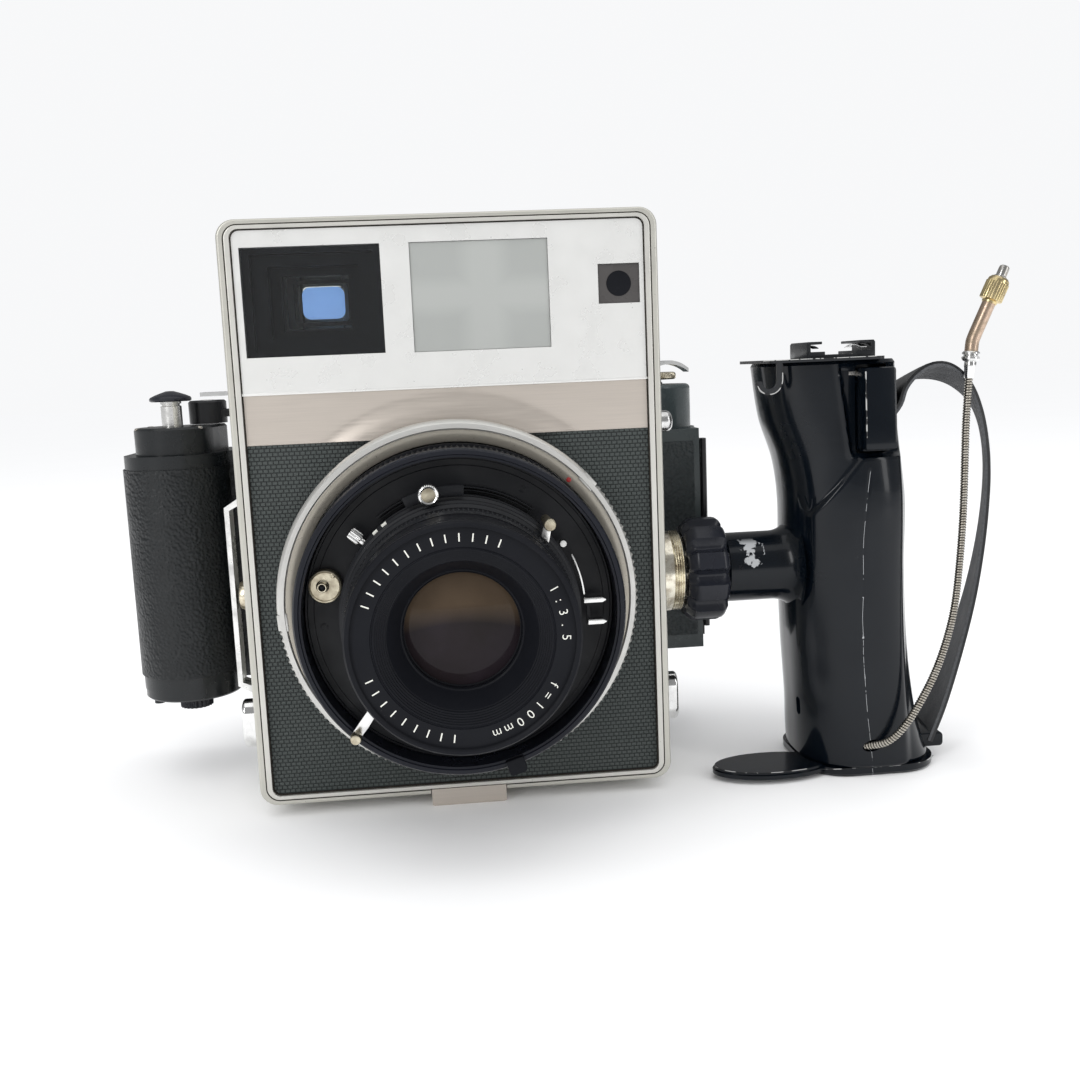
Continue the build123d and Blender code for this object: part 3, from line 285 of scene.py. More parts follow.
def black_paint(name, base=(0.007, 0.0075, 0.009), rough=0.38, grain=0.1, dust=0.35, gloss=0.3):
    """Black anodised or painted metal with faint dust and grain."""
    look = Shader(name, base, rough, 0.0, Specular_IOR_Level=gloss)
    specks = look.between(look.noise(1400, 2, 0.6), 0.70, 0.78)
    patch = look.math("MULTIPLY", specks, look.between(look.noise(70, 2), 0.4, 0.7, 0, dust))
    cloud = look.mix(look.noise(50, 3), base, tuple(part * 1.7 for part in base))
    look.colour(look.mix(patch, cloud, (0.09, 0.09, 0.09)))
    look.rough(look.between(look.noise(120, 4), 0.3, 0.7, rough - 0.08, rough + 0.1))
    look.bump(look.noise(2400, 2), grain, 0.05)
    return look


def holder_paint(name, black, grey, rough, wrinkle):
    """Finish of the film holder's metal, smooth or wrinkled, with a lighter green-grey painted at its right
    end where the light falls.
    """
    look = Shader(name, black, rough, 0.0, Specular_IOR_Level=0.4)
    cloud = look.noise(60, 3)
    # Painted light: the right end is a lighter green-grey where the light falls, the left end black.
    plain = painted_light_by_side(look, black, grey)
    lighter = painted_light_by_side(look, tuple(part * 1.5 for part in black), tuple(part * 1.25 for part in grey))
    look.colour(look.mix(cloud, plain, lighter))
    look.rough(look.between(look.noise(120, 4), 0.3, 0.7, rough - 0.08, rough + 0.1))
    look.bump(look.noise(1300, 3, 0.6), wrinkle, 0.12)
    return look


def leatherette():
    """Charcoal green covering, embossed with rows of small staggered bars."""
    look = Shader("grey_leatherette", (0.035, 0.046, 0.044), 0.55, 0.0, Specular_IOR_Level=0.35)
    brick = look.tree.nodes.new("ShaderNodeTexBrick")
    look.plug(look.vector(look.axis("X"), look.axis("Z")), brick.inputs["Vector"])
    for socket, value in (("Scale", 1.0), ("Mortar Size", 0.24), ("Mortar Smooth", 1.0),
                          ("Brick Width", 1.5), ("Row Height", 1.15)):
        brick.inputs[socket].default_value = value
    weave = brick.outputs["Fac"]
    wobble = look.noise(500, 2)
    tone = look.mix(weave, (0.042, 0.051, 0.049), (0.010, 0.013, 0.013))
    cloud = look.between(look.noise(35, 3), 0.3, 0.7)
    look.colour(look.mix(cloud, tone, look.mix(weave, (0.055, 0.064, 0.061), (0.014, 0.017, 0.017))))
    look.bump(look.math("SUBTRACT", wobble, weave), 0.75, 0.28)
    look.bump(look.noise(3500, 2), 0.2, 0.05)
    return look


def painted_light_by_side(look, left, right):
    """Painted light on the film holder: black at its left end, a lighter green-grey at its right end where
    the light falls.
    """
    return look.mix(look.between(look.axis("X"), 54.0, 58.0), left, right)


def pebble_leather(name, base, rough, cell=780.0, depth=0.42, right=(0.024, 0.031, 0.033)):
    """Pebbled leather: rounded cells, their crowns lighter as painted highlight and their valleys darker as
    painted shade, with painted light at the right end.
    """
    look = Shader(name, base, rough, 0.0, Specular_IOR_Level=0.42)
    cell_height = look.cells(cell, "SMOOTH_F1")
    # Painted shade in the valleys and painted highlight on the crowns, both lighter at the right end as
    # painted light.
    ends = painted_light_by_side(look, base, right)
    painted_highlight_crowns = painted_light_by_side(look, tuple(part * 1.5 for part in base), tuple(part * 1.4 for part in right))
    look.colour(look.mix(look.between(cell_height, 0.1, 0.6), painted_highlight_crowns, ends))
    look.rough(look.between(look.noise(90, 3), 0.3, 0.7, rough - 0.07, rough + 0.1))
    look.bump(look.math("MULTIPLY", cell_height, -1.0), 0.9, depth)
    look.bump(look.noise(2600, 3), 0.25, 0.05)
    return look


def strap_look(name, base, rough, crease):
    look = Shader(name, base, rough)
    fibres = look.noise(1400, 4, 0.65)
    look.colour(look.mix(look.between(fibres, 0.35, 0.75), base, tuple(part * 1.8 for part in base)))
    look.rough(look.between(look.noise(130, 3), 0.3, 0.7, rough - 0.1, rough + 0.1))
    look.bump(fibres, crease, 0.1)
    look.bump(look.noise(120, 4), 0.3, 0.35)
    return look


def grip_gloss():
    """Thick glossy black enamel, chipped along the seam and at the stem."""
    look = Shader("grip_enamel", (0.003, 0.0032, 0.004), 0.17, 0.0, Specular_IOR_Level=0.2, Coat_Weight=0.2,
                  Coat_Roughness=0.06)
    x, y, z = look.axis("X"), look.axis("Y"), look.axis("Z")
    front = look.between(y, -6.0, -8.0)
    wander = look.between(look.noise(38, 2), 0.3, 0.7, -0.35, 0.35)
    bow = look.math("MULTIPLY", look.math("POWER", look.math("SUBTRACT", z, 48.0), 2.0), 0.0014)
    seam_x = look.math("ADD", look.math("ADD", bow, 118.8), wander)
    off_seam = look.math("ABSOLUTE", look.math("SUBTRACT", x, seam_x))
    chip_width = look.between(look.noise(150, 4, 0.7), 0.60, 0.72, 0.06, 0.42)
    on_seam = look.math("LESS_THAN", off_seam, chip_width)
    unbroken = look.math("GREATER_THAN", look.noise(420, 2, 0.5), 0.43)
    on_seam = look.math("MULTIPLY", look.math("MULTIPLY", on_seam, look.math("LESS_THAN", z, 92.0)), unbroken)
    seam_chips = look.math("MULTIPLY", on_seam, front)
    stem = look.between(look.math("ABSOLUTE", look.math("SUBTRACT", x, 88.3)), 4.2, 0.5, 0.0, 0.16)
    stem_top = look.between(look.math("ABSOLUTE", look.math("SUBTRACT", z, 69.2)), 5.8, 1.5, 0.0, 0.16)
    ragged = look.math("ADD", look.math("ADD", stem, stem_top), look.noise(300, 5, 0.65))
    patch = look.math("GREATER_THAN", ragged, 0.77)
    patch = look.math("MULTIPLY", patch, look.math("MULTIPLY", look.math("GREATER_THAN", stem, 0.001),
                                                   look.math("GREATER_THAN", stem_top, 0.001)))
    patch = look.math("MULTIPLY", patch, look.between(y, 1.0, -1.0))
    rare = look.math("GREATER_THAN", look.noise(620, 3, 0.7), 0.775)
    rare = look.math("MULTIPLY", rare, look.between(look.noise(24, 2), 0.42, 0.6))
    bare = look.math("MAXIMUM", look.math("MAXIMUM", seam_chips, patch), rare)
    smudge = look.mix(look.noise(70, 4), (0.0010, 0.0024, 0.0048), (0.0028, 0.0048, 0.0078))
    look.colour(look.mix(bare, smudge, (0.36, 0.37, 0.38)))
    look.rough(look.between(look.noise(55, 4), 0.3, 0.7, 0.12, 0.28))
    look.bump(look.math("MULTIPLY", bare, -1.0), 0.5, 0.08)
    look.bump(look.noise(75, 3), 0.10, 0.7)
    look.bump(look.noise(1100, 2), 0.05, 0.05)
    return look


def wear_and_highlight_edge():
    """Black enamel with light runs along an edge: enamel wear on some edges, a painted highlight on others.
    """
    look = Shader("wear_and_highlight_edge", (0.01, 0.01, 0.01), 0.35)
    bare = look.math("GREATER_THAN", look.noise(240, 4, 0.6), 0.50)
    # Light runs: enamel wear, and on some edges a painted highlight.
    look.colour(look.mix(bare, (0.006, 0.006, 0.007), (0.42, 0.42, 0.41)))
    look.rough(look.between(look.noise(300, 2), 0.3, 0.7, 0.3, 0.5))
    return look


def knurled_steel(name, base, rough):
    look = Shader(name, base, rough, 1.0)
    stain = look.noise(400, 4, 0.6)
    look.colour(look.mix(look.between(stain, 0.4, 0.8), base, (0.33, 0.27, 0.19)))
    look.rough(look.between(stain, 0.3, 0.7, rough - 0.08, rough + 0.12))
    look.bump(look.noise(1800, 2), 0.08, 0.03)
    return look


def clear_glass(name, tint, rough=0.02):
    look = Shader(name, tint, rough, 0.0, IOR=1.5, Transmission_Weight=1.0)
    look.bump(look.noise(30, 2), 0.01, 0.2)
    return look


def lens_coating():
    """Coated glass: dark purple below, and an amber reflection of the light above painted into the upper
    half.
    """
    look = Shader("lens_coating", (0.015, 0.010, 0.014), 0.045, 0.0, IOR=1.18, Coat_Weight=0.06,
                  Coat_Roughness=0.03)
    height = look.axis("Z")
    bow = look.math("MULTIPLY", look.math("POWER", look.axis("X"), 2.0), 0.012)
    edge = look.math("ADD", height, bow)
    haze = look.noise(110, 3)
    # Painted reflection: mask and amber colour of the light above, shown in the upper half.
    upper = look.between(edge, LENS_Z + 1.6, LENS_Z + 6.4)
    painted_reflection_amber = look.mix(haze, (0.058, 0.041, 0.027), (0.090, 0.064, 0.043))
    purple = look.mix(look.between(look.noise(60, 3), 0.35, 0.7), (0.013, 0.010, 0.010),
                      (0.021, 0.016, 0.020))
    look.colour(look.mix(upper, purple, painted_reflection_amber))
    look.bump(look.noise(25, 1), 0.02, 0.3)
    return look


def frosted():
    """Frosted daylight window, a little lighter along a cross where the frame lines lie behind it."""
    look = Shader("frosted_glass", (0.42, 0.45, 0.45), 0.42)
    x0, x1 = low("frosted_window").x, high("frosted_window").x
    z0, z1 = low("frosted_window").z, high("frosted_window").z
    off_x = look.math("ABSOLUTE", look.math("SUBTRACT", look.axis("X"), x0 + 0.53 * (x1 - x0)))
    off_z = look.math("ABSOLUTE", look.math("SUBTRACT", look.axis("Z"), z0 + 0.5 * (z1 - z0)))
    across = look.between(off_x, 8.0, 3.0)
    along = look.between(off_z, 6.0, 2.0)
    cross = look.math("MULTIPLY", look.math("MAXIMUM", across, along), 0.22)
    base = look.mix(look.noise(40, 3), (0.300, 0.312, 0.300), (0.335, 0.345, 0.332))
    look.colour(look.mix(cross, base, (0.50, 0.51, 0.49)))
    look.bump(look.noise(3000, 2), 0.15, 0.03)
    return look


def glow(name, colour, strength):
    """Painted light: daylight seen through the finder, drawn as a self-lit surface."""
    look = Shader(name, (0.03, 0.05, 0.09), 0.3)
    mottled = look.mix(look.noise(260, 3), colour, tuple(part * 0.82 for part in colour))
    look.colour(mottled)
    look.plug(mottled, look.shader.inputs["Emission Color"])
    look.shader.inputs["Emission Strength"].default_value = strength
    return look


def cable_spiral():
    look = Shader("spiral_steel", (0.50, 0.47, 0.42), 0.26, 1.0)
    stain = look.noise(300, 4)
    look.colour(look.mix(stain, (0.34, 0.30, 0.24), (0.62, 0.60, 0.55)))
    look.rough(look.between(stain, 0.3, 0.7, 0.2, 0.42))
    return look


LOOKS = {
    "rim": satin_paint("warm_grey_rim", (0.50, 0.49, 0.44), (0.57, 0.56, 0.51), 0.36,
                       (0.10, 0.06, 0.03), 0.55),
    "plate": satin_paint("pale_rim", (0.58, 0.57, 0.53), (0.65, 0.64, 0.60), 0.34, (0.12, 0.07, 0.04), 0.5),
    "fascia": satin_paint("satin_fascia", (0.70, 0.70, 0.68), (0.75, 0.75, 0.735), 0.30, None, 0.35, 0.05),
    "band": brushed("champagne_band", (0.62, 0.56, 0.50), 0.36, (0.06, 1.0, 3.0), 0.65),
    "leatherette": leatherette(),
    # Both leathers carry a painted highlight on the cell crowns, painted shade in the valleys and painted
    # light at the right end.
    "holder_leather": pebble_leather("pebble_leather", (0.004, 0.0055, 0.0065), 0.40, 1100.0, 0.36),
    "cover_leather": pebble_leather("cover_leather", (0.006, 0.0065, 0.007), 0.44, 700.0),
    "strap": strap_look("strap_outside", (0.006, 0.0065, 0.0075), 0.34, 0.35),
    "strap_inside": strap_look("strap_inside", (0.052, 0.054, 0.058), 0.8, 0.8),
    "satin_chrome": chrome_look("satin_chrome", (0.80, 0.795, 0.775), 0.24),
    "chrome": chrome_look("bright_chrome"),
    "pale_chrome": chrome_look("pale_chrome", (0.92, 0.92, 0.91), 0.12),
    "black": black_paint("black_anodised", gloss=0.22),
    "window_grey": black_paint("window_grey", (0.050, 0.047, 0.046), 0.3, 0.05, 0.2),
    "focus_black": black_paint("focus_black", (0.006, 0.007, 0.011), 0.32, 0.1, 0.3, 0.22),
    "flat_black": black_paint("flat_black", (0.0045, 0.005, 0.007), 0.50, 0.15, 0.25, 0.14),
    "gloss_black": black_paint("gloss_black", (0.010, 0.0105, 0.012), 0.16, 0.05, 0.7),
    "cap_black": black_paint("cap_black", (0.014, 0.015, 0.0165), 0.26, 0.12, 0.6),
    "knob_black": black_paint("knob_black", (0.009, 0.010, 0.014), 0.24, 0.06, 0.6),
    # The holder finishes carry painted light: green-grey at the right end, black at the left.
    "wrinkle": holder_paint("wrinkle_black", (0.010, 0.011, 0.012), (0.040, 0.052, 0.054), 0.5, 0.5),
    "holder_cap": holder_paint("holder_cap", (0.006, 0.0075, 0.0085), (0.040, 0.052, 0.054), 0.26, 0.06),
    "grip": grip_gloss(),
    # Light edge lines: enamel wear and painted highlight.
    "worn": wear_and_highlight_edge(),
    "ring": satin_paint("satin_ring", (0.58, 0.575, 0.55), (0.64, 0.635, 0.61), 0.34, None, 0.7),
    "beige_ring": brushed("beige_ring", (0.44, 0.41, 0.35), 0.34, (1.0, 0.1, 1.0), 0.6),
    "nickel": knurled_steel("nickel_collar", (0.84, 0.80, 0.68), 0.22),
    "brass": knurled_steel("worn_brass", (0.78, 0.64, 0.34), 0.26),
    "pale_brass": knurled_steel("nickel_brass", (0.80, 0.74, 0.58), 0.24),
    "champagne": knurled_steel("champagne_disc", (0.62, 0.57, 0.44), 0.32),
    "rim_shadow": black_paint("rim_shadow", (0.020, 0.017, 0.014), 0.6, 0.1, 0.3, 0.12),
    "steel": knurled_steel("plain_steel", (0.55, 0.54, 0.52), 0.26),
    "sleeve": knurled_steel("tan_sleeve", (0.58, 0.44, 0.34), 0.34),
    "spiral": cable_spiral(),
    "clear": clear_glass("clear_glass", (0.92, 0.95, 0.96)),
    "lens": lens_coating(),
    "frosted": frosted(),
    # Self-lit finder patch: painted light.
    "finder_painted_light": glow("finder_daylight", (0.22, 0.40, 0.78), 0.62),
    "bellows": strap_look("bellows_cloth", (0.010, 0.010, 0.010), 0.75, 0.5),
    "white_ink": satin_paint("white_ink", (0.78, 0.78, 0.72), (0.70, 0.70, 0.64), 0.55),
    "red_ink": satin_paint("red_ink", (0.32, 0.02, 0.02), (0.24, 0.015, 0.015), 0.35),
    "blade": brushed("blade_steel", (0.06, 0.06, 0.065), 0.42, (1.0, 1.0, 0.1), 0.7),
}

CAD_LOOKS = {
    "body_shell": "rim", "front_plate": "plate", "top_fascia": "fascia", "face_band": "band",
    "front_leatherette": "leatherette", "viewfinder_mask": "flat_black", "viewfinder_glass": "clear",
    "finder_optics": "clear", "frosted_window": "frosted", "rangefinder_window": "window_grey",
    "top_shoe": "chrome", "tripod_block": "band", "side_stirrup": "satin_chrome",
    "grip_sockets": "pale_brass", "strap_lugs": "chrome", "bellows": "bellows",
    "mount_flange": "ring", "mount_barrel": "black", "breech_ring": "ring",
    "focus_ring": "focus_black", "lens_pan": "black", "shutter_housing": "black",
    "speed_ring": "black", "front_barrel": "flat_black", "front_element": "lens",
    "rear_element": "lens", "shutter_blades": "blade", "shutter_sockets": "champagne",
    "selector_knob": "chrome", "cocking_lever": "chrome", "aperture_lever": "chrome",
    "release_lever": "chrome", "rear_frame": "wrinkle", "extension_rods": "steel",
    "holder_body": "holder_cap", "holder_end_caps": "holder_cap", "holder_leather": "holder_leather",
    "back_cover": "cover_leather", "cover_hinge_pin": "steel", "pressure_plate": "black",
    "take_up_spool": "knob_black", "supply_spool": "knob_black", "counter_wheel": "pale_brass",
    "pull_knob": "knob_black", "advance_lever": "gloss_black", "dark_slide": "gloss_black",
    "rod_lock_left": "pale_chrome", "rod_lock_right": "pale_chrome", "release_button": "chrome",
    "lock_knob": "knob_black", "grip_body": "grip", "grip_cover": "grip", "base_cap": "grip",
    "shoe_plate": "cap_black", "grip_shoe": "cap_black", "trigger": "grip", "trigger_pin": "steel",
    "hand_strap": "strap", "cable_lead": "spiral", "cable_fitting": "brass",
}


def dress_cad():
    for node, look in CAD_LOOKS.items():
        slots = bpy.data.objects[node].material_slots
        for slot in slots:
            slot.material = LOOKS[look].material


# ---------------------------------------------------------------- mesh helpers
FROM_FRONT = (Vector((1, 0, 0)), Vector((0, 0, 1)), Vector((0, -1, 0)))     # sideways, up, outwards
FROM_ABOVE = (Vector((1, 0, 0)), Vector((0, 1, 0)), Vector((0, 0, 1)))
FROM_RIGHT = (Vector((0, 1, 0)), Vector((0, 0, 1)), Vector((1, 0, 0)))
FROM_LEFT = (Vector((0, -1, 0)), Vector((0, 0, 1)), Vector((-1, 0, 0)))


def piece(name, points, faces, look, body, crease=30.0):
    """Mesh object from points in millimetres, smooth where its faces meet at less than crease degrees."""
    mesh = bpy.data.meshes.new(name)
    mesh.from_pydata([Vector(point) * MM for point in points], [], faces)
    shape = bmesh.new()
    shape.from_mesh(mesh)
    bmesh.ops.recalc_face_normals(shape, faces=shape.faces)
    shape.to_mesh(mesh)
    shape.free()
    mesh.polygons.foreach_set("use_smooth", [True] * len(mesh.polygons))
    mesh.set_sharp_from_angle(angle=radians(crease))
    mesh.materials.append(LOOKS[look].material)
    thing = bpy.data.objects.new(name, mesh)
    bpy.context.scene.collection.objects.link(thing)
    if body:
        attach(thing, body)
    return thing


def stand_for(node, *parts):
    """Hide the CAD node, which the pieces replace."""
    for part in parts:
        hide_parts(node)


def turned(name, profile, look, body, origin=(0, 0, None), view=FROM_FRONT, steps=192, teeth=None,
           shape=None, crease=30.0):
    """Turned piece from closed (radius, distance outwards) points. teeth is (radius beyond which
    they are cut, count, depth, first angle, last angle). shape gives a radius from radius and angle."""
    across, up, out = view
    centre = Vector((origin[0], origin[1], LENS_Z if origin[2] is None else origin[2]))
    points, faces = [], []
    count = len(profile)
    for step in range(steps):
        angle = 2 * pi * step / steps
        for radius, ahead in profile:
            if shape:
                radius = shape(radius, angle)
            if teeth and radius > teeth[0]:
                degrees = (360.0 * step / steps) % 360
                if teeth[3] <= degrees <= teeth[4] or teeth[3] <= degrees + 360 <= teeth[4]:
                    radius -= teeth[2] * (0.5 - 0.5 * cos(teeth[1] * angle)) ** 0.7
            points.append(centre + across * radius * cos(angle) + up * radius * sin(angle) + out * ahead)
        base, ahead_base = step * count, ((step + 1) % steps) * count
        for index in range(count):
            after = (index + 1) % count
            faces.append((base + index, base + after, ahead_base + after, ahead_base + index))
    thing = piece(name, points, faces, look, body, crease)
    shape = bmesh.new()
    shape.from_mesh(thing.data)
    bmesh.ops.remove_doubles(shape, verts=shape.verts, dist=1e-6)
    bmesh.ops.recalc_face_normals(shape, faces=shape.faces)
    shape.to_mesh(thing.data)
    shape.free()
    thing.data.set_sharp_from_angle(angle=radians(crease))
    return thing


def bevelled(thing, width, segments=2, angle=30.0):
    """Round off a piece's edges and apply it."""
    shape = bmesh.new()
    shape.from_mesh(thing.data)
    sharp = [edge for edge in shape.edges if len(edge.link_faces) == 2
             and edge.calc_face_angle(0) > radians(angle)]
    bmesh.ops.bevel(shape, geom=sharp, offset=width * MM, segments=segments, profile=0.6,
                    affect="EDGES", clamp_overlap=True)
    bmesh.ops.recalc_face_normals(shape, faces=shape.faces)
    shape.to_mesh(thing.data)
    shape.free()
    thing.data.polygons.foreach_set("use_smooth", [True] * len(thing.data.polygons))
    thing.data.set_sharp_from_angle(angle=radians(25))
    return thing


def prism(name, outline, near, far, look, body, view=FROM_FRONT, bevel=0.2, origin=(0, 0, 0), turn=0.0):
    """Outline of (sideways, up) points made solid between two distances outwards, turned in its plane."""
    across, up, out = view
    centre = Vector(origin)
    cosine, sine = cos(radians(turn)), sin(radians(turn))
    points = []
    for ahead in (near, far):
        for a, b in outline:
            side, rise = a * cosine - b * sine, a * sine + b * cosine
            points.append(centre + across * side + up * rise + out * ahead)
    count = len(outline)
    faces = [tuple(range(count)), tuple(range(2 * count - 1, count - 1, -1))]
    for index in range(count):
        after = (index + 1) % count
        faces.append((index, after, count + after, count + index))
    thing = piece(name, points, faces, look, body)
    return bevelled(thing, bevel) if bevel else thing


def rounded(width, height, radius, steps=6):
    """Rounded rectangle about the middle, as (sideways, up) points."""
    points = []
    corners = ((1, 1, 0), (-1, 1, 90), (-1, -1, 180), (1, -1, 270))
    for side, rise, first in corners:
        for step in range(steps + 1):
            angle = radians(first + 90 * step / steps)
            points.append((side * (width / 2 - radius) + radius * cos(angle),
                           rise * (height / 2 - radius) + radius * sin(angle)))
    return points


def join(name, parts):
    """Make one object of several that share a body."""
    bpy.ops.object.select_all(action="DESELECT")
    for part in parts:
        part.select_set(True)
    bpy.context.view_layer.objects.active = parts[0]
    bpy.ops.object.join()
    parts[0].name = name
    return parts[0]


def cut(thing, cutter):
    """Take the cutter's volume out of a piece."""
    modifier = thing.modifiers.new("cut", "BOOLEAN")
    modifier.operation = "DIFFERENCE"
    modifier.solver = "EXACT"
    modifier.object = cutter
    apply_modifiers(thing)
    bpy.data.objects.remove(cutter)
    return thing


def apply_modifiers(thing):
    graph = bpy.context.evaluated_depsgraph_get()
    graph.update()
    made = bpy.data.meshes.new_from_object(thing.evaluated_get(graph))
    thing.modifiers.clear()
    thing.data = made
    made.polygons.foreach_set("use_smooth", [True] * len(made.polygons))
    made.set_sharp_from_angle(angle=radians(30))


def screw(name, place, radius, look, body, view, turn=20.0):
    """Countersunk slotted screw head, flush with the surface at place."""
    dome = [(0.0, 0.12), (radius * 0.6, 0.1), (radius - 0.12, 0.02), (radius, -0.15), (radius, -0.8),
            (0.0, -0.8)]
    head = turned(name, dome, look, body, place, view, 32)
    slot = prism(name + "_slot", rounded(radius * 2.4, radius * 0.32, 0.05, 1), -0.35, 0.6, look, body, view,
                 0, place, turn)
    return cut(head, slot)


# ---------------------------------------------------------------- cable release and hand strap
CABLE_ROUTE = [(119.2, -13.9, 9.3), (123.2, -16.8, 10.2), (126.9, -18.3, 12.9), (130.5, -18.6, 17.0),
               (134.8, -17.6, 22.7), (139.8, -15.8, 30.0), (144.3, -13.3, 38.2), (148.2, -11.2, 49.0),
               (150.4, -9.4, 62.5), (152.0, -8.0, 77.0), (152.9, -6.7, 92.5), (153.7, -5.4, 107.5),
               (154.9, -5.0, 120.5)]
CABLE_D = 2.4


def route_curve(name, points, bevel_mm):
    """Smooth curve that has the route's points as its control points."""
    data = bpy.data.curves.new(name, "CURVE")
    data.dimensions = "3D"
    data.resolution_u = 12
    spline = data.splines.new("NURBS")
    spline.points.add(len(points) - 1)
    for point, place in zip(spline.points, points):
        point.co = (*(Vector(place) * MM), 1)
    spline.order_u = 3
    spline.use_endpoint_u = True
    data.bevel_depth = bevel_mm * MM
    data.bevel_resolution = 5
    curve = bpy.data.objects.new(name, data)
    bpy.context.scene.collection.objects.link(curve)
    return curve


def line_of(curve):
    """Points along a curve's own line, in millimetres, read from a thin copy of it."""
    probe = bpy.data.objects.new("probe", curve.data.copy())
    probe.data.bevel_depth = 0
    bpy.context.scene.collection.objects.link(probe)
    graph = bpy.context.evaluated_depsgraph_get()
    graph.update()
    mesh = bpy.data.meshes.new_from_object(probe.evaluated_get(graph))
    points = [vertex.co / MM for vertex in mesh.vertices]
    bpy.data.meshes.remove(mesh)
    line = probe.data
    bpy.data.objects.remove(probe)
    bpy.data.curves.remove(line)
    return points


def spaced(points, pitch):
    """Points at an even pitch along a line, each with its direction."""
    found, carried = [], 0.0
    for here, after in zip(points, points[1:]):
        run = (after - here).length
        while carried < run:
            found.append((here.lerp(after, carried / run), (after - here).normalized()))
            carried += pitch
        carried -= run
    return found


def make_cable():
    """Cable release: a dark core inside a wound steel sheath, with its end fitting."""
    core = route_curve("cable_core", CABLE_ROUTE, CABLE_D / 2 - 0.3)
    core.data.materials.append(LOOKS["flat_black"].material)
    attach(core, BODY)
    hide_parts("cable_lead")
    line = line_of(core)
    points, faces = [], []
    sides, wire = 6, 0.3
    frames = spaced(line, 0.07)
    turns_per_mm = 1.0 / 0.8
    around = CABLE_D / 2 - wire
    normal = frames[0][1].orthogonal().normalized()
    for index, (centre, along) in enumerate(frames):
        normal = (normal - along * normal.dot(along)).normalized()
        side = along.cross(normal)
        angle = 2 * pi * turns_per_mm * 0.07 * index
        out = normal * cos(angle) + side * sin(angle)
        for corner in range(sides):
            turn = 2 * pi * corner / sides
            points.append(centre + out * (around + wire * cos(turn)) + along * wire * 1.1 * sin(turn))
        if index:
            first, second = (index - 1) * sides, index * sides
            for corner in range(sides):
                after = (corner + 1) % sides
                faces.append((first + corner, first + after, second + after, second + corner))
    spiral = piece("cable_spiral", points, faces, "spiral", BODY, 80)
    parts = cable_end(line)


def cable_end(line):
    """Ferrules, bent sleeve, milled nut and rounded tip on the end of the cable."""
    start = line[-1]
    along = (line[-1] - line[-2]).normalized()
    lean = Vector((0.40, -0.05, 0.92)).normalized()
    bend_start = start + along * 4.8
    bend = bend_start + along * 3.2
    sleeve_end = bend + lean * 12.0

    def on_axis(name, profile, origin, axis, look, teeth=None):
        across = axis.orthogonal().normalized()
        view = (across, axis.cross(across), axis)
        return turned(name, profile, look, BODY, origin, view, 96, teeth)

    sheath = on_axis("cable_ferrule_low", [(0, -3.0), (1.36, -3.0), (1.5, -2.6), (1.6, 0.0), (1.72, 0.4),
                                           (1.72, 1.7), (1.5, 2.1), (0, 2.1)], start, along, "chrome")
    collar = on_axis("cable_ferrule", [(0, 1.9), (1.7, 1.9), (2.3, 2.2), (2.6, 2.7), (2.6, 3.2), (2.1, 3.5),
                                       (2.1, 3.8), (2.55, 4.1), (2.55, 4.5), (2.2, 4.9), (0, 4.9)],
                     start, along, "chrome")
    sleeve = route_curve("cable_sleeve", [bend_start - along * 0.3, bend - along * 0.8, bend + lean * 0.8,
                                          sleeve_end - lean * 5, sleeve_end + lean * 0.2], 1.95)
    sleeve.data.use_fill_caps = True
    sleeve.data.materials.append(LOOKS["sleeve"].material)
    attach(sleeve, BODY)
    rings = [(0, -0.2), (2.2, -0.2), (2.2, 0.4), (3.2, 0.8), (3.35, 1.0), (3.35, 5.9), (3.1, 6.2), (3.0, 6.9),
             (2.4, 7.6), (0, 7.6)]
    nut = on_axis("cable_nut", rings, sleeve_end, lean, "brass", (3.3, 30, 0.22, 0, 360))
    tip = on_axis("cable_tip", [(0, 7.4), (1.9, 7.4), (1.9, 7.9), (1.5, 8.2), (1.5, 10.4), (1.35, 11.0),
                                (0.9, 11.3), (0, 11.4)], sleeve_end, lean, "steel")
    stand_for("cable_fitting", sheath, collar, sleeve, nut, tip)
    return [sheath, collar, sleeve, nut, tip]


STRAP_T = 2.0
STRAP_Y0, STRAP_Y1 = -3.6, 16.0
STRAP_NEAR = [(131.8, 107.4), (134.4, 111.0), (136.0, 115.6), (139.5, 119.6), (144.0, 122.0), (149.0, 121.8),
              (153.6, 118.6), (157.6, 112.2), (160.4, 102.0), (161.6, 88.0), (160.6, 70.0), (158.0, 52.0),
              (154.0, 35.0), (149.0, 18.0), (144.2, 5.6)]
STRAP_FAR = [(131.8, 106.6), (134.6, 110.0), (137.0, 113.8), (141.6, 116.8), (147.6, 118.2), (154.6, 117.4),
             (160.6, 114.4), (165.8, 109.0), (169.2, 100.0), (170.4, 87.0), (169.0, 70.0), (165.4, 52.0),
             (160.2, 35.0), (153.6, 18.0), (147.4, 5.6)]


def smooth_line(points, count):
    """Even points along a smooth line through the given ones (Catmull-Rom)."""
    dense = []
    padded = [points[0] * 2 - points[1], *points, points[-1] * 2 - points[-2]]
    for a, b, c, d in zip(padded, padded[1:], padded[2:], padded[3:]):
        for step in range(12):
            t = step / 12
            dense.append(0.5 * ((2 * b) + (c - a) * t + (2 * a - 5 * b + 4 * c - d) * t ** 2
                                + (3 * b - a - 3 * c + d) * t ** 3))
    dense.append(points[-1])
    total = sum((after - here).length for here, after in zip(dense, dense[1:]))
    line = [place for place, _ in spaced(dense, total / count * 0.99999)]
    return line


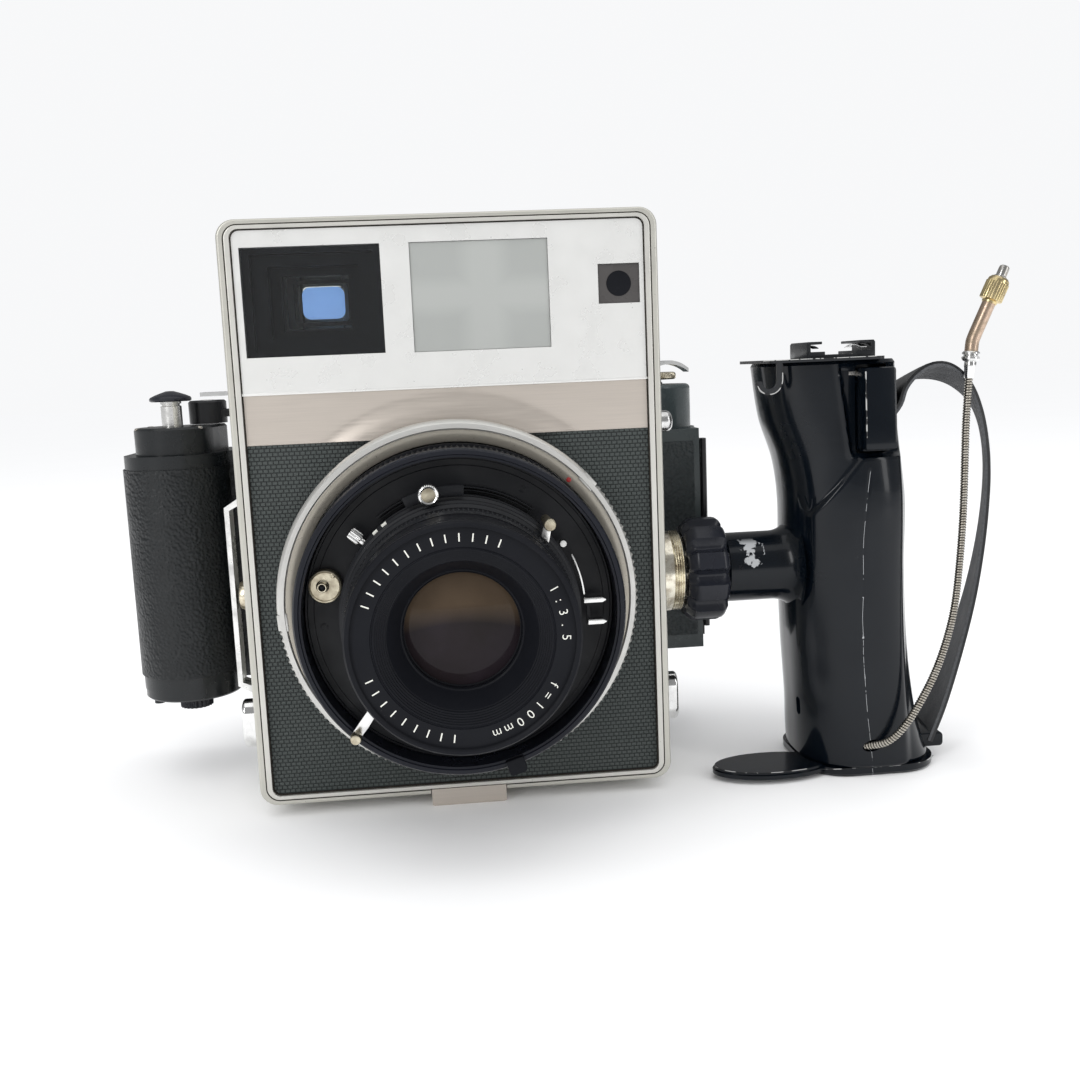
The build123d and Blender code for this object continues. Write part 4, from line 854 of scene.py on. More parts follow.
def make_strap():
    """Leather hand strap: black outside with rolled edges, dark grey inside, clamped at its foot."""
    near = smooth_line([Vector((x, STRAP_Y0, z)) for x, z in STRAP_NEAR], 110)
    far = smooth_line([Vector((x, STRAP_Y1, z)) for x, z in STRAP_FAR], 110)
    across = 10
    last = len(near) - 1
    rows = []
    for index in range(len(near)):
        row = []
        for step in range(across + 1):
            share = step / across
            line = [here.lerp(there, share) for here, there in zip(near, far)]
            along = (line[min(index + 1, last)] - line[max(index - 1, 0)]).normalized()
            out = along.cross((far[index] - near[index]).normalized())
            crown = 0.35 * (1 - (2 * share - 1) ** 2)
            row.append((line[index] + out * crown, out))
        rows.append(row)
    half = STRAP_T / 2 * 0.86

    def skin(sign, name, look):
        points = [centre + out * sign * (half * (0.92 if step in (0, across) else 1.0))
                  for row in rows for step, (centre, out) in enumerate(row)]
        middle_line = [centre for row in rows for centre, out in row]
        width = across + 1
        faces = []
        offset = len(points)
        for row in range(len(rows) - 1):
            for step in range(across):
                a = row * width + step
                faces.append((a, a + 1, a + 1 + width, a + width))
            for step in (0, across):
                a = row * width + step
                faces.append((a, offset + a, offset + a + width, a + width))
        for row in (0, len(rows) - 1):
            for step in range(across):
                a = row * width + step
                faces.append((a, a + 1, offset + a + 1, offset + a))
        return piece(name, points + middle_line, faces, look, BODY, 60)

    outer = skin(1.0, "strap_outside", "strap")
    inner = skin(-1.0, "strap_inside", "strap_inside")
    for thing in (outer, inner):
        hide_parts("hand_strap")
    clamp = prism("strap_clamp", rounded(8.0, 4.4, 1.2), -STRAP_Y1 + 0.4, -STRAP_Y0 - 0.4, "grip", BODY,
                  bevel=0.5, origin=(144.6, 0, 6.0))


# ---------------------------------------------------------------- lens
def make_breech_ring():
    """Satin locking ring: bevelled rim, notched from the left round the foot to the upper right."""
    back, front = RING_BACK, RING_FRONT
    profile = [(47.2, back), (49.4, back), (50.2, back + 0.9), (50.2, front - 1.5), (49.6, front - 0.25),
               (49.3, front), (48.0, front), (47.8, front - 0.2), (47.7, front - 1.0), (47.2, front - 1.0)]
    rim = turned("breech_rim", profile, "ring", "breech_ring", steps=1440,
                 teeth=(49.45, 150, 0.55, 181, 402), crease=30)
    band = [(44.3, back + 0.2), (47.6, back + 0.2), (47.6, front - 0.5), (47.4, front - 0.4),
            (44.7, front - 1.0), (44.3, front - 1.4)]
    inner = turned("breech_band", band, "beige_ring", "breech_ring", steps=360, crease=40)
    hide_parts("breech_ring")
    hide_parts("breech_ring")
    for name, angle in (("left", 183.5), ("right", 40.5)):
        outline = [(47.3, -2.6), (50.15, -2.2), (50.15, 2.2), (47.3, 2.6)]
        facet = prism("breech_flat_" + name, outline, front - 3.0, front - 0.12, "ring", "breech_ring",
                      bevel=0.3, origin=(0, 0, LENS_Z), turn=angle)
    dot_at = radians(45.5)
    place = (45.4 * cos(dot_at), 0, LENS_Z + 45.4 * sin(dot_at))
    turned("breech_index", [(0, front - 0.65), (0.5, front - 0.65), (0.72, front - 0.75), (0.72, front - 1.1),
                            (0, front - 1.1)], "red_ink", "breech_ring", place, steps=24)


def make_focus_ring():
    """Black focus ring: a deep diamond knurl behind a plain bevelled lip."""
    back, front = FOCUS_BACK, FOCUS_FRONT
    steps, count = 1080, 180
    profile = [(41.4, back), (43.0, back), (43.2, back + 0.4), (43.2, back + 1.6)]
    rows = 9
    start, stop = back + 1.8, front - 3.4
    knurl = [(43.75, start + (stop - start) * row / (rows - 1)) for row in range(rows)]
    profile += knurl
    profile += [(43.1, front - 3.0), (43.1, front - 2.4), (43.7, front - 2.1), (43.7, front - 0.7),
                (43.2, front), (42.2, front), (42.0, front - 0.4), (41.4, front - 0.5)]
    ring = turned("focus_grip", profile, "focus_black", "focus_ring", steps=steps,
                  teeth=(43.72, count, 0.55, 0, 360), crease=50)
    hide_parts("focus_ring")
    tab = [(41.5, -2.5), (45.2, -2.5), (45.9, -1.9), (45.9, 1.9), (45.2, 2.5), (41.5, 2.5)]
    tab_piece = prism("focus_tab", tab, front - 5, front + 1.3, "flat_black", "focus_ring", bevel=0.45,
                      origin=(0, 0, LENS_Z), turn=-73)


def make_pan():
    """Black plate round the shutter, with its lip, arc grooves and countersunk screws."""
    front = PAN_FRONT
    profile = [(34.0, 10.0), (38.4, 10.0), (38.4, front - 2.5), (41.1, front - 2.5), (41.1, front + 0.0),
               (40.6, front), (40.4, front - 0.35), (38.9, front - 0.4), (38.7, front - 0.05),
               (31.0, front - 0.05), (20.0, front - 0.05), (20.0, front - 2.5), (34.0, front - 2.5)]
    plate = turned("pan_plate", profile, "black", LENS, steps=256)
    for index, angle in enumerate((60.0, 184.0, 248.0, 318.0)):
        place = (36.4 * cos(radians(angle)), -front + 0.05, LENS_Z + 36.4 * sin(radians(angle)))
        screw(f"pan_screw_{index + 1}", place, 1.15, "black", LENS, FROM_FRONT, 37 * index)
    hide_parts("lens_pan")


def make_shutter():
    """Shutter case in turned steps, with the arc rail for its levers and the milled speed ring."""
    profile = [(18.0, 4.0), (19.9, 4.0), (19.9, 34.0), (31.5, 34.0), (31.5, 38.4), (31.1, 38.7), (31.1, 41.9),
               (31.5, 42.2), (31.5, 44.0), (30.7, 44.8), (30.5, 45.9), (30.9, 46.1), (30.9, 47.6),
               (30.3, 48.0), (30.2, 49.3), (29.4, 50.0), (26.0, 50.0), (26.0, 57.0), (18.0, 57.0)]
    case = turned("shutter_case", profile, "black", LENS, steps=256)
    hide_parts("shutter_housing")
    speed = [(26.05, 50.3), (28.9, 50.3), (29.2, 50.6), (29.2, 51.2), (29.55, 51.4), (29.55, 53.6),
             (29.2, 53.8), (29.2, 55.3), (28.8, 55.9), (28.7, 56.5), (26.05, 56.5)]
    ring = turned("speed_scale", speed, "black", "speed_ring", steps=1200, teeth=(29.4, 150, 0.42, 0, 360),
                  crease=45)
    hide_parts("speed_ring")
    for index in range(11):
        angle = 62 + 9.5 * index
        mark = [(28.68, -0.11), (28.96, -0.11), (28.96, 0.11), (28.68, 0.11)]
        line = prism(f"speed_mark_{index + 1}", mark, 54.0, 55.2, "white_ink", "speed_ring", bevel=0,
                     origin=(0, 0, LENS_Z), turn=angle)
    rail = []
    for radius, grow in ((32.6, 1), (33.5, 1)):
        arc = [(radius * cos(radians(a)), radius * sin(radians(a))) for a in range(52, 132, 4)]
        inner = [((radius - 0.35) * cos(radians(a)), (radius - 0.35) * sin(radians(a)))
                 for a in range(128, 51, -4)]
        rail.append(prism(f"shutter_rail_{len(rail) + 1}", arc + inner, 34.0, 36.2 + grow * len(rail),
                          "black", LENS, bevel=0.08, origin=(0, 0, LENS_Z)))
    for index, angle in enumerate((131.5, 126.0)):
        mark = [(30.95, -0.75), (31.65, -0.75), (31.65, 0.75), (30.95, 0.75)]
        index_mark = prism(f"shutter_index_{index + 1}", mark, 43.1, 44.5, "white_ink", LENS, bevel=0.1,
                           origin=(0, 0, LENS_Z), turn=angle)


def make_front_cell():
    """Front cell: bevelled rim with a filter thread, flat black ring, fine steps and a plain cone."""
    front = LENS_FRONT
    profile = [(17.0, 57.1), (27.6, 57.1), (28.6, 58.2), (28.6, front - 3.4), (28.3, front - 3.1),
               (28.3, front - 2.7), (28.6, front - 2.4), (28.6, front - 0.7), (28.1, front), (27.5, front)]
    threads = 3
    for turn in range(threads):
        depth = front - 0.15 - 0.3 * turn
        profile += [(27.1, depth - 0.1), (27.45, depth - 0.25)]
    profile += [(27.1, front - 1.15), (22.3, front - 1.15), (22.15, front - 1.35), (21.9, front - 1.2)]
    radius, depth = 21.7, front - 1.5
    for step in range(6):
        profile += [(radius, depth), (radius - 0.42, depth - 0.05), (radius - 0.45, depth - 0.4)]
        radius, depth = radius - 0.5, depth - 0.45
    profile += [(18.7, front - 4.4), (18.45, front - 4.5), (18.3, front - 4.75), (15.3, 60.0), (14.9, 59.75),
                (14.6, 59.9), (14.55, 58.1), (17.0, 58.0)]
    cell = turned("front_cell", profile, "flat_black", LENS, steps=288, crease=22)
    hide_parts("front_barrel")
    engrave_ring(24.6, -front + 1.15)


def engrave_ring(radius, y):
    """Generic optical figures and plain index strokes on the flat ring, filled with pale ink."""
    glyphs = []
    words = (("1:3.5", 12.0, 7.2), ("f=100mm", -52.0, 7.2))
    for word, first, step in words:
        count = len(word)
        for index, letter in enumerate(word):
            angle = first - step * (index - (count - 1) / 2)
            glyphs.append((letter, angle))
    parts = []
    for letter, angle in glyphs:
        data = bpy.data.curves.new("figure", "FONT")
        data.body = letter
        data.size = 3.1 * MM
        data.extrude = 0.03 * MM
        data.offset = -0.02 * MM
        data.align_x = "CENTER"
        data.align_y = "CENTER"
        text = bpy.data.objects.new("figure", data)
        bpy.context.scene.collection.objects.link(text)
        turn = radians(angle)
        place = Vector((radius * cos(turn), y, LENS_Z + radius * sin(turn))) * MM
        spin = Matrix.Rotation(radians(90), 4, "X")
        roll = Matrix.Rotation(-(turn - radians(90)), 4, "Y")
        text.matrix_world = Matrix.Translation(place) @ roll @ spin
        graph = bpy.context.evaluated_depsgraph_get()
        graph.update()
        mesh = bpy.data.meshes.new_from_object(text.evaluated_get(graph))
        mesh.transform(text.matrix_world)
        bpy.data.objects.remove(text)
        part = bpy.data.objects.new("figure", mesh)
        mesh.materials.clear()
        mesh.materials.append(LOOKS["white_ink"].material)
        bpy.context.scene.collection.objects.link(part)
        parts.append(part)
    figures = join("ring_figures", parts)
    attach(figures, LENS)
    strokes = []
    mark = [(radius - 1.0, -0.16), (radius + 1.0, -0.16), (radius + 1.0, 0.16), (radius - 1.0, 0.16)]
    for first, count in ((158, 13), (262, 9)):
        for index in range(count):
            strokes.append(prism("stroke", mark, -y - 0.02, -y + 0.03, "white_ink", LENS, bevel=0,
                                 origin=(0, 0, LENS_Z), turn=first - 7.6 * index))
    ring_strokes = join("ring_strokes", strokes)


def make_front_glass():
    """Bulged front glass with its black edge."""
    profile = [(0.0, 50.0), (14.4, 50.0)]
    edge, rise, steps = 57.0, 1.9, 14
    for step in range(steps + 1):
        radius = 14.5 * (1 - step / steps)
        profile.append((radius, edge + rise * (1 - (radius / 14.5) ** 2)))
    glass = turned("front_glass", profile, "lens", LENS, steps=160)
    seat = turned("front_glass_seat", [(14.3, 50.0), (16.9, 50.0), (16.9, 56.5), (15.2, 57.6), (14.45, 57.3)],
                  "flat_black", LENS, steps=160)
    stand_for("front_element", glass, seat)


def at_lens(angle, radius, ahead):
    turn = radians(angle)
    return (radius * cos(turn), -ahead, LENS_Z + radius * sin(turn))


def make_sync_terminal():
    """Dished flash disc with its coaxial socket and a small screw."""
    place = at_lens(166.0, 36.2, PAN_FRONT)
    disc = turned("sync_disc", [(0, 0), (4.4, 0), (4.5, 0.3), (4.5, 2.6), (4.25, 3.0), (3.9, 3.1), (3.7, 2.9),
                                (0, 2.9)], "champagne", LENS, place, steps=96)
    socket_at = at_lens(166.0, 36.8, PAN_FRONT)
    socket = turned("sync_socket", [(0.85, 2.6), (1.75, 2.6), (1.7, 3.2), (1.35, 3.4), (1.3, 5.2),
                                    (1.15, 5.4),
                                    (0.95, 5.4), (0.85, 5.2)], "pale_brass", LENS, socket_at, steps=64)
    core = turned("sync_core", [(0, 2.6), (0.83, 2.6), (0.83, 4.6), (0.4, 4.6), (0.4, 5.1), (0, 5.1)],
                  "flat_black", LENS, socket_at, steps=40)
    near = at_lens(160.5, 34.9, PAN_FRONT + 3.05)
    small = screw("sync_screw", near, 0.75, "champagne", LENS, FROM_FRONT, 30)
    drum_view = (Vector((0, -1, 0)), Vector((-sin(radians(140)), 0, cos(radians(140)))),
                 Vector((cos(radians(140)), 0, sin(radians(140)))))
    drum = turned("release_socket", [(0.6, 31.5), (1.0, 31.5), (1.0, 32.5), (1.5, 32.6), (1.7, 32.9),
                                     (1.7, 35.6), (1.5, 36.0), (0.9, 36.1), (0.6, 35.8)],
                  "chrome", LENS, (0, -PAN_FRONT - 5, LENS_Z), drum_view, 192, (1.6, 14, 0.22, 0, 360))
    stand_for("shutter_sockets", disc, socket, core, small, drum)


def make_levers():
    """Chromed levers and finger knobs round the shutter."""
    knob_at = at_lens(101.5, 33.4, 0)
    knob = turned("selector_cap", [(0, 45.4), (1.6, 45.4), (1.6, 46.4), (2.55, 46.7), (2.75, 47.0),
                                   (2.75, 49.6), (2.5, 50.0), (2.2, 50.15), (1.9, 50.0), (1.5, 49.9),
                                   (0, 49.9)],
                  "chrome", "selector_knob", knob_at, steps=360, teeth=(2.6, 30, 0.16, 0, 360), crease=45)
    face = turned("selector_face", [(0, 49.7), (1.85, 49.7), (1.8, 50.02), (1.4, 50.1), (0, 50.1)],
                  "champagne", "selector_knob", knob_at, steps=48)
    arm = []
    for angle in range(86, 114, 3):
        arm.append((34.6 * cos(radians(angle)), 34.6 * sin(radians(angle))))
    for angle in range(113, 85, -3):
        arm.append((31.9 * cos(radians(angle)), 31.9 * sin(radians(angle))))
    link = prism("selector_arm", arm, 44.7, 45.9, "black", "selector_knob", bevel=0.2, origin=(0, 0, LENS_Z))
    stand_for("selector_knob", knob, face, link)

    cocking = "cocking_lever"
    blade = [(29.8, -3.1), (32.6, -1.4), (33.6, -1.2), (34.4, -0.6), (34.4, 0.6), (33.6, 1.1), (32.4, 0.9),
             (29.8, -0.5)]
    plate = prism("cocking_arm", blade, 50.25, 51.1, "satin_chrome", cocking, bevel=0.2,
                  origin=(0, 0, LENS_Z), turn=45.8)
    pin = turned("cocking_pin", [(0, 40.0), (1.2, 40.0), (1.2, 51.0), (1.6, 51.1), (1.6, 52.6), (1.4, 53.0),
                                 (0, 53.1)], "champagne", cocking, at_lens(45.8, 33.5, 0), steps=64)
    roller = turned("cocking_roller", [(0, 38.6), (1.0, 38.6), (1.0, 40.8), (0.85, 41.2), (0, 41.25)],
                    "satin_chrome", cocking, at_lens(32.0, 32.7, 0), steps=48)
    stand_for(cocking, plate, pin, roller)

    aperture = "aperture_lever"
    wedge = [(31.95, -2.7), (34.4, -2.3), (38.0, -1.9), (42.0, -1.35), (43.0, -0.5), (43.0, 0.5),
             (42.0, 1.2), (38.0, 0.9), (34.4, 0.3), (31.95, -0.2)]
    plate = prism("aperture_arm", wedge, 43.4, 44.6, "chrome", aperture, bevel=0.25, origin=(0, 0, LENS_Z),
                  turn=226)
    pin = turned("aperture_pin", [(0, 44.0), (1.1, 44.0), (1.15, 44.8), (1.5, 45.1), (1.5, 47.3),
                                  (1.25, 47.9), (0.9, 48.0), (0, 48.0)],
                 "champagne", aperture, at_lens(226, 41.6, 0), steps=64)
    stand_for(aperture, plate, pin)

    release = "release_lever"
    strip = []
    for angle in range(5, 26, 2):
        strip.append((33.4 * cos(radians(angle)), 33.4 * sin(radians(angle))))
    for angle in range(25, 4, -2):
        strip.append((32.9 * cos(radians(angle)), 32.9 * sin(radians(angle))))
    bow = prism("release_strip", strip, 37.7, 38.7, "chrome", release, bevel=0.12, origin=(0, 0, LENS_Z))
    parts = [bow]
    for name, rise, first in (("upper", 1.7, 32.6), ("lower", -4.2, 33.6)):
        tab = [(first, -0.7), (37.6, -0.7), (38.6, -0.2), (38.6, 0.2), (37.6, 0.7), (first, 0.7)]
        parts.append(prism("release_tab_" + name, tab, 37.7, 40.6, "chrome", release, bevel=0.22,
                           origin=(0, 0, LENS_Z + rise)))
    web = [(33.5, -4.9), (38.0, -4.9), (38.0, -4.2), (34.5, -3.8), (34.5, 2.0), (33.5, 2.0)]
    parts.append(prism("release_web", web, 37.7, 38.6, "black", release, bevel=0.12, origin=(0, 0, LENS_Z)))
    for part in parts:
        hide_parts(release)


# ---------------------------------------------------------------- finder windows and face
def make_finder():
    """Bright eyepiece frame deep in the finder, a self-lit patch painted as daylight, and the disc in the
    rangefinder window.
    """
    eyepiece = (-33.9, 146.9)
    depth = -high("viewfinder_mask").y - 0.2
    # Painted light: a self-lit patch stands for daylight through the eyepiece.
    light = prism("finder_daylight", rounded(12.0, 9.0, 2.2), depth, depth + 0.25, "finder_painted_light", BODY,
                  bevel=0.1, origin=(eyepiece[0], 0, eyepiece[1]))
    for index, (width, height, ahead) in enumerate(((16.5, 13.0, 0.6), (22.0, 17.0, 3.2))):
        outer = prism(f"finder_frame_{index + 1}", rounded(width, height, 1.2), depth + ahead,
                      depth + ahead + 0.4, "black", BODY, bevel=0.08, origin=(eyepiece[0], 0, eyepiece[1]))
        hole = prism("hole", rounded(width - 2.4, height - 2.4, 1.0), depth + ahead - 1,
                     depth + ahead + 2, "black", BODY, bevel=0, origin=(eyepiece[0], 0, eyepiece[1]))
        cut(outer, hole)
    window = middle("rangefinder_window")
    dish = turned("rangefinder_disc", [(0, 11.3), (2.9, 11.3), (3.3, 11.5), (3.45, 11.9), (3.2, 11.95),
                                       (0, 11.6)], "flat_black", BODY, (window.x, 0, window.z), steps=64)


def frame_strip(name, outer, inner, centre_z, near, far, look):
    """Flat rounded frame between two rectangles, each given as width, height and corner radius."""
    strip = prism(name, rounded(*outer), near, far, look, BODY, bevel=0, origin=(0, 0, centre_z))
    hole = prism("hole", rounded(*inner), near - 1, far + 1, look, BODY, bevel=0, origin=(0, 0, centre_z))
    cut(strip, hole)


def band_swell():
    """The band pressed outward where it passes over the top of the breech ring."""
    x0, z0 = -44.0, low("face_band").z + 0.1
    columns, rows = 176, 27
    step_z = (high("face_band").z - 0.5 - z0) / rows
    points, faces, kept = [], [], {}

    def corner(column, row):
        if (column, row) not in kept:
            x, z = x0 + column * 0.5, z0 + row * step_z
            radius = sqrt(x * x + (z - LENS_Z) ** 2)
            lift = 1.7 * ease(radius, 58.0, 50.8) + 0.03
            kept[column, row] = len(points)
            points.append(Vector((x, FACE_Y - lift, z)))
        return kept[column, row]

    for column in range(columns):
        for row in range(rows):
            x, z = x0 + (column + 0.5) * 0.5, z0 + (row + 0.5) * step_z
            if 47.6 < sqrt(x * x + (z - LENS_Z) ** 2) < 58.4:
                faces.append((corner(column, row), corner(column + 1, row),
                              corner(column + 1, row + 1), corner(column, row + 1)))
    swell = piece("band_swell", points, faces, "band", BODY, 60)


def make_face_trim():
    """Bead along the top of the band, its swell over the lens, and dark strips painted as the shadow lines in
    the rims' grooves.
    """
    x0, x1 = low("face_band").x, high("face_band").x
    z = high("face_band").z
    bead = [(x0, -0.35), (x1, -0.35), (x1, 0.45), (x0, 0.45)]
    strip = prism("face_bead", bead, -FACE_Y - 0.3, -FACE_Y + 0.45, "fascia", BODY, bevel=0.25,
                  origin=(0, 0, z))
    band_swell()
    # Painted shadow: dark strips laid in the grooves round the rims.
    shell_low, shell_high = low("body_shell").z, high("body_shell").z
    mid = (shell_low + shell_high) / 2
    tall = shell_high - shell_low - 2.6
    frame_strip("rim_groove_shadow", (117.0, tall, 3.9), (116.1, tall - 0.9, 3.6), mid, 12.5, 13.07, "rim_shadow")
    wide, panel_low, panel_high = high("top_fascia").x * 2, low("front_leatherette").z, high("top_fascia").z
    high_panel = panel_high - panel_low
    frame_strip("panel_groove_shadow", (wide + 0.16, high_panel + 0.16, 2.5), (wide - 0.6, high_panel - 0.6, 2.2),
                (panel_low + panel_high) / 2, 11.6, 12.36, "rim_shadow")


# ---------------------------------------------------------------- grip
# Height, left, right, front and back of the grip at each level.
GRIP_SECTIONS = [
    (2.8, 103.3, 144.2, -14.6, 27.0), (8.0, 102.9, 142.2, -14.4, 26.6), (20.0, 102.6, 139.4, -14.0, 26.0),
    (40.0, 101.4, 137.4, -13.0, 25.5), (62.0, 100.8, 136.7, -12.4, 25.0), (82.0, 100.9, 137.0, -12.0, 24.5),
    (95.0, 99.2, 135.8, -11.4, 24.0), (108.0, 95.0, 134.6, -11.0, 23.6), (124.4, 92.6, 134.0, -11.0, 23.4)]


def ease(value, start, stop):
    """Smooth step from 0 at start to 1 at stop."""
    t = min(max((value - start) / (stop - start), 0.0), 1.0)
    return t * t * (3 - 2 * t)


def grip_level(z):
    """Edges of the grip at a height, on a smooth line through the sections."""
    rows = GRIP_SECTIONS
    index = max(n for n in range(len(rows) - 1) if rows[n][0] <= z + 1e-6)
    before, here = rows[max(index - 1, 0)], rows[index]
    after, beyond = rows[index + 1], rows[min(index + 2, len(rows) - 1)]
    span = after[0] - here[0]
    t = (z - here[0]) / span
    edges = []
    for item in range(1, 5):
        slope_here = (after[item] - before[item]) / max(after[0] - before[0], 1e-6) * span
        slope_after = (beyond[item] - here[item]) / max(beyond[0] - here[0], 1e-6) * span
        edges.append((2 * t ** 3 - 3 * t ** 2 + 1) * here[item] + (t ** 3 - 2 * t ** 2 + t) * slope_here
                     + (3 * t ** 2 - 2 * t ** 3) * after[item] + (t ** 3 - t ** 2) * slope_after)
    return edges


def seam_at(z):
    return 118.8 + 0.0014 * (z - 48) ** 2


def grip_relief(x, z, facing):
    """How far the surface stands out: the finger panel, its diagonal edge, the shoulder by the trigger."""
    front = ease(facing, 0.25, 0.75)
    diagonal = 104.9 + max(0.0, z - 79.5) * 0.873
    panel = ease(x, diagonal - 1.0, diagonal + 1.0) * ease(z, 96.7, 95.7)
    fade = ease(z, 76.0, 46.0)
    panel *= 1 - fade * ease(x, 117, 104)
    raised = 1.1 * panel * ease(x, 134.8, 131.0)
    shoulder_x = 112.5 + (121 - z) * 0.14
    above = ease(z, 95.5, 98.0)
    bead = 0.45 * above * (2.718 ** (-((x - shoulder_x) / 0.8) ** 2))
    shoulder = -1.3 * above * ease(x, shoulder_x, shoulder_x + 1.6) * ease(z, 123.6, 122.0)
    waist = -1.0 * ease(z, 60, 40) * ease(z, 18, 32) * (2.718 ** (-((x - 106) / 4.0) ** 2))
    seam = -0.12 * (2.718 ** (-((x - seam_at(z)) / 0.3) ** 2)) * ease(z, 93, 91)
    return (raised + bead + shoulder + waist + seam) * front


def make_grip():
    """Enamelled grip: sculpted column with its seam, trigger pocket, slot and cable hole, and the stem."""
    columns, level_step, z0, z1 = 320, 0.5, 2.8, 124.4
    levels = int((z1 - z0) / level_step)
    points, faces = [], []
    for level in range(levels + 1):
        z = z0 + (z1 - z0) * level / levels
        left, right, near, far = grip_level(z)
        centre = Vector(((left + right) / 2, (near + far) / 2, z))
        wide, deep = (right - left) / 2, (far - near) / 2
        dense = []
        for step in range(721):
            angle = 2 * pi * step / 720
            c, s = cos(angle), sin(angle)
            dense.append(centre + Vector((wide * abs(c) ** 0.72 * (1 if c >= 0 else -1),
                                          deep * abs(s) ** 0.72 * (1 if s >= 0 else -1), 0)))
        around = sum((after - here).length for here, after in zip(dense, dense[1:]))
        even = spaced(dense, around / columns)[:columns]
        inset = 0.7 * (ease(z, z1 - 1.0, z1) + ease(z, z0 + 0.8, z0))
        for place, along in even:
            out = Vector((along.y, -along.x, 0))
            lift = grip_relief(place.x, z, -out.y) - inset
            points.append(place + out * lift)
    for level in range(levels):
        for column in range(columns):
            after = (column + 1) % columns
            here, up = level * columns, (level + 1) * columns
            faces.append((here + column, here + after, up + after, up + column))
    faces.append(tuple(range(columns)))
    faces.append(tuple(range(levels * columns, (levels + 1) * columns)))
    column_piece = piece("grip_casting", points, faces, "grip", BODY, 38)
    pocket = prism("pocket", rounded(10.4, 25.8, 0.8, 2), -0.5, 22, "grip", BODY, bevel=0,
                   origin=(123.3, 0, 110.1))
    cut(column_piece, pocket)
    slot = prism("slot", rounded(2.6, 5.6, 1.3), -104.6, -96, "flat_black", BODY, FROM_LEFT, 0,
                 (0, -1.0, 19.3))
    cut(column_piece, slot)
    start, second = Vector(CABLE_ROUTE[0]), Vector(CABLE_ROUTE[1])
    along = (second - start).normalized()
    across = along.orthogonal().normalized()
    bore = turned("bore", [(0, -1.5), (1.75, -1.5), (1.75, 8), (0, 8)], "flat_black", BODY, start,
                  (across, along.cross(across), along), 48)
    cut(column_piece, bore)
    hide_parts("grip_body", "grip_cover")
    stem_profile = [(0, 70.5), (7.9, 70.5), (7.9, 81.4), (10.1, 81.4), (10.6, 81.9), (10.6, 96.5)]
    for step in range(1, 9):
        turn = pi / 2 * step / 8
        stem_profile.append((10.6 + 5.5 * (1 - cos(turn)), 96.5 + 6.5 * sin(turn)))
    stem_profile.append((0, 103.0))
    stem = turned("grip_stem", stem_profile, "grip", BODY, (0, GRIP_Y, LENS_Z), FROM_RIGHT, 128)
    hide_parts("grip_body")
    pin = screw("stem_screw", (84.8, GRIP_Y - 10.5, LENS_Z + 1.4), 0.9, "flat_black", BODY, FROM_FRONT, 45)
    mark = route_curve("grip_mark", [(101.7, -7.0, 84.6), (101.9, -7.8, 82.4), (102.7, -8.9, 81.0),
                                     (104.0, -10.2, 81.2), (104.6, -10.6, 82.4), (104.8, -10.4, 84.6)], 0.22)
    mark.data.materials.append(LOOKS["grip"].material)
    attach(mark, BODY)


def make_lock_knob():
    """Ten-lobed locking nut with rounded ends, and the threaded collar it bears on."""
    def lobed(radius, angle):
        if radius < 11:
            return radius
        flute = max(0.0, cos(10 * angle)) ** 0.75
        return radius - 2.4 * flute * min(1.0, (radius - 11) / 3.0)

    profile = [(8.1, 68.6), (12.9, 68.6), (13.6, 68.8), (15.3, 70.6), (15.7, 71.2), (15.8, 72.0),
               (15.8, 78.6),
               (15.6, 79.4), (15.0, 80.2), (14.0, 80.8), (12.6, 81.0), (11.4, 80.7), (8.1, 80.7)]
    knob = turned("lobed_nut", profile, "knob_black", "lock_knob", (0, GRIP_Y, LENS_Z), FROM_RIGHT, 360,
                  shape=lobed, crease=40)
    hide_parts("lock_knob")
    thread = [(4.0, 60.3), (12.2, 60.3), (12.3, 60.6), (12.3, 64.4), (11.8, 64.7)]
    for turn in range(4):
        x = 64.9 + 0.72 * turn
        thread += [(11.7, x), (12.2, x + 0.28), (12.2, x + 0.36)]
    thread += [(11.7, 67.9), (11.5, 68.3), (9.0, 68.3), (9.0, 70.2), (4.0, 70.2)]
    collar = turned("grip_collar", thread, "nickel", BODY, (0, GRIP_Y, LENS_Z), FROM_RIGHT, 160)
    boss = turned("free_socket", [(2.4, 60.4), (4.4, 60.4), (4.4, 63.4), (4.0, 64.3), (2.9, 64.3),
                                  (2.4, 63.9)], "pale_brass", BODY, (0, GRIP_Y - 0.5, LENS_Z), FROM_LEFT, 96)
    stand_for("grip_sockets", collar, boss)


def make_trigger():
    """Glossy trigger block that leans out towards its foot, with a lip below it."""
    side = [(-6.4, 12.0), (-16.0, 12.0), (-17.3, -9.6), (-17.3, -11.6), (-6.4, -11.6)]
    block = prism("trigger_block", side, 118.5, 128.1, "grip", "trigger", FROM_RIGHT, 1.0, (0, 0, 110.1))
    # Painted highlight: a light line down the trigger's front-left edge.
    wear_and_highlight_line("trigger_highlight_line", [(118.95, -15.9, 121.0), (118.85, -16.6, 112.0), (118.9, -17.0, 102.0)],
           "trigger", 0.2)
    foot = [(-6.8, 0.9), (-15.2, 0.9), (-13.8, -0.75), (-6.8, -0.75)]
    lip = prism("trigger_lip", foot, 118.9, 127.6, "grip", "trigger", FROM_RIGHT, 0.3, (0, 0, 98.8))
    stand_for("trigger", block, lip)


def wear_and_highlight_line(name, points, body=BODY, width=0.11):
    """Thin light line along an edge: enamel wear on some edges, a painted highlight on others."""
    line = route_curve(name, points, width)
    line.data.materials.append(LOOKS["worn"].material)
    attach(line, body)
    return line


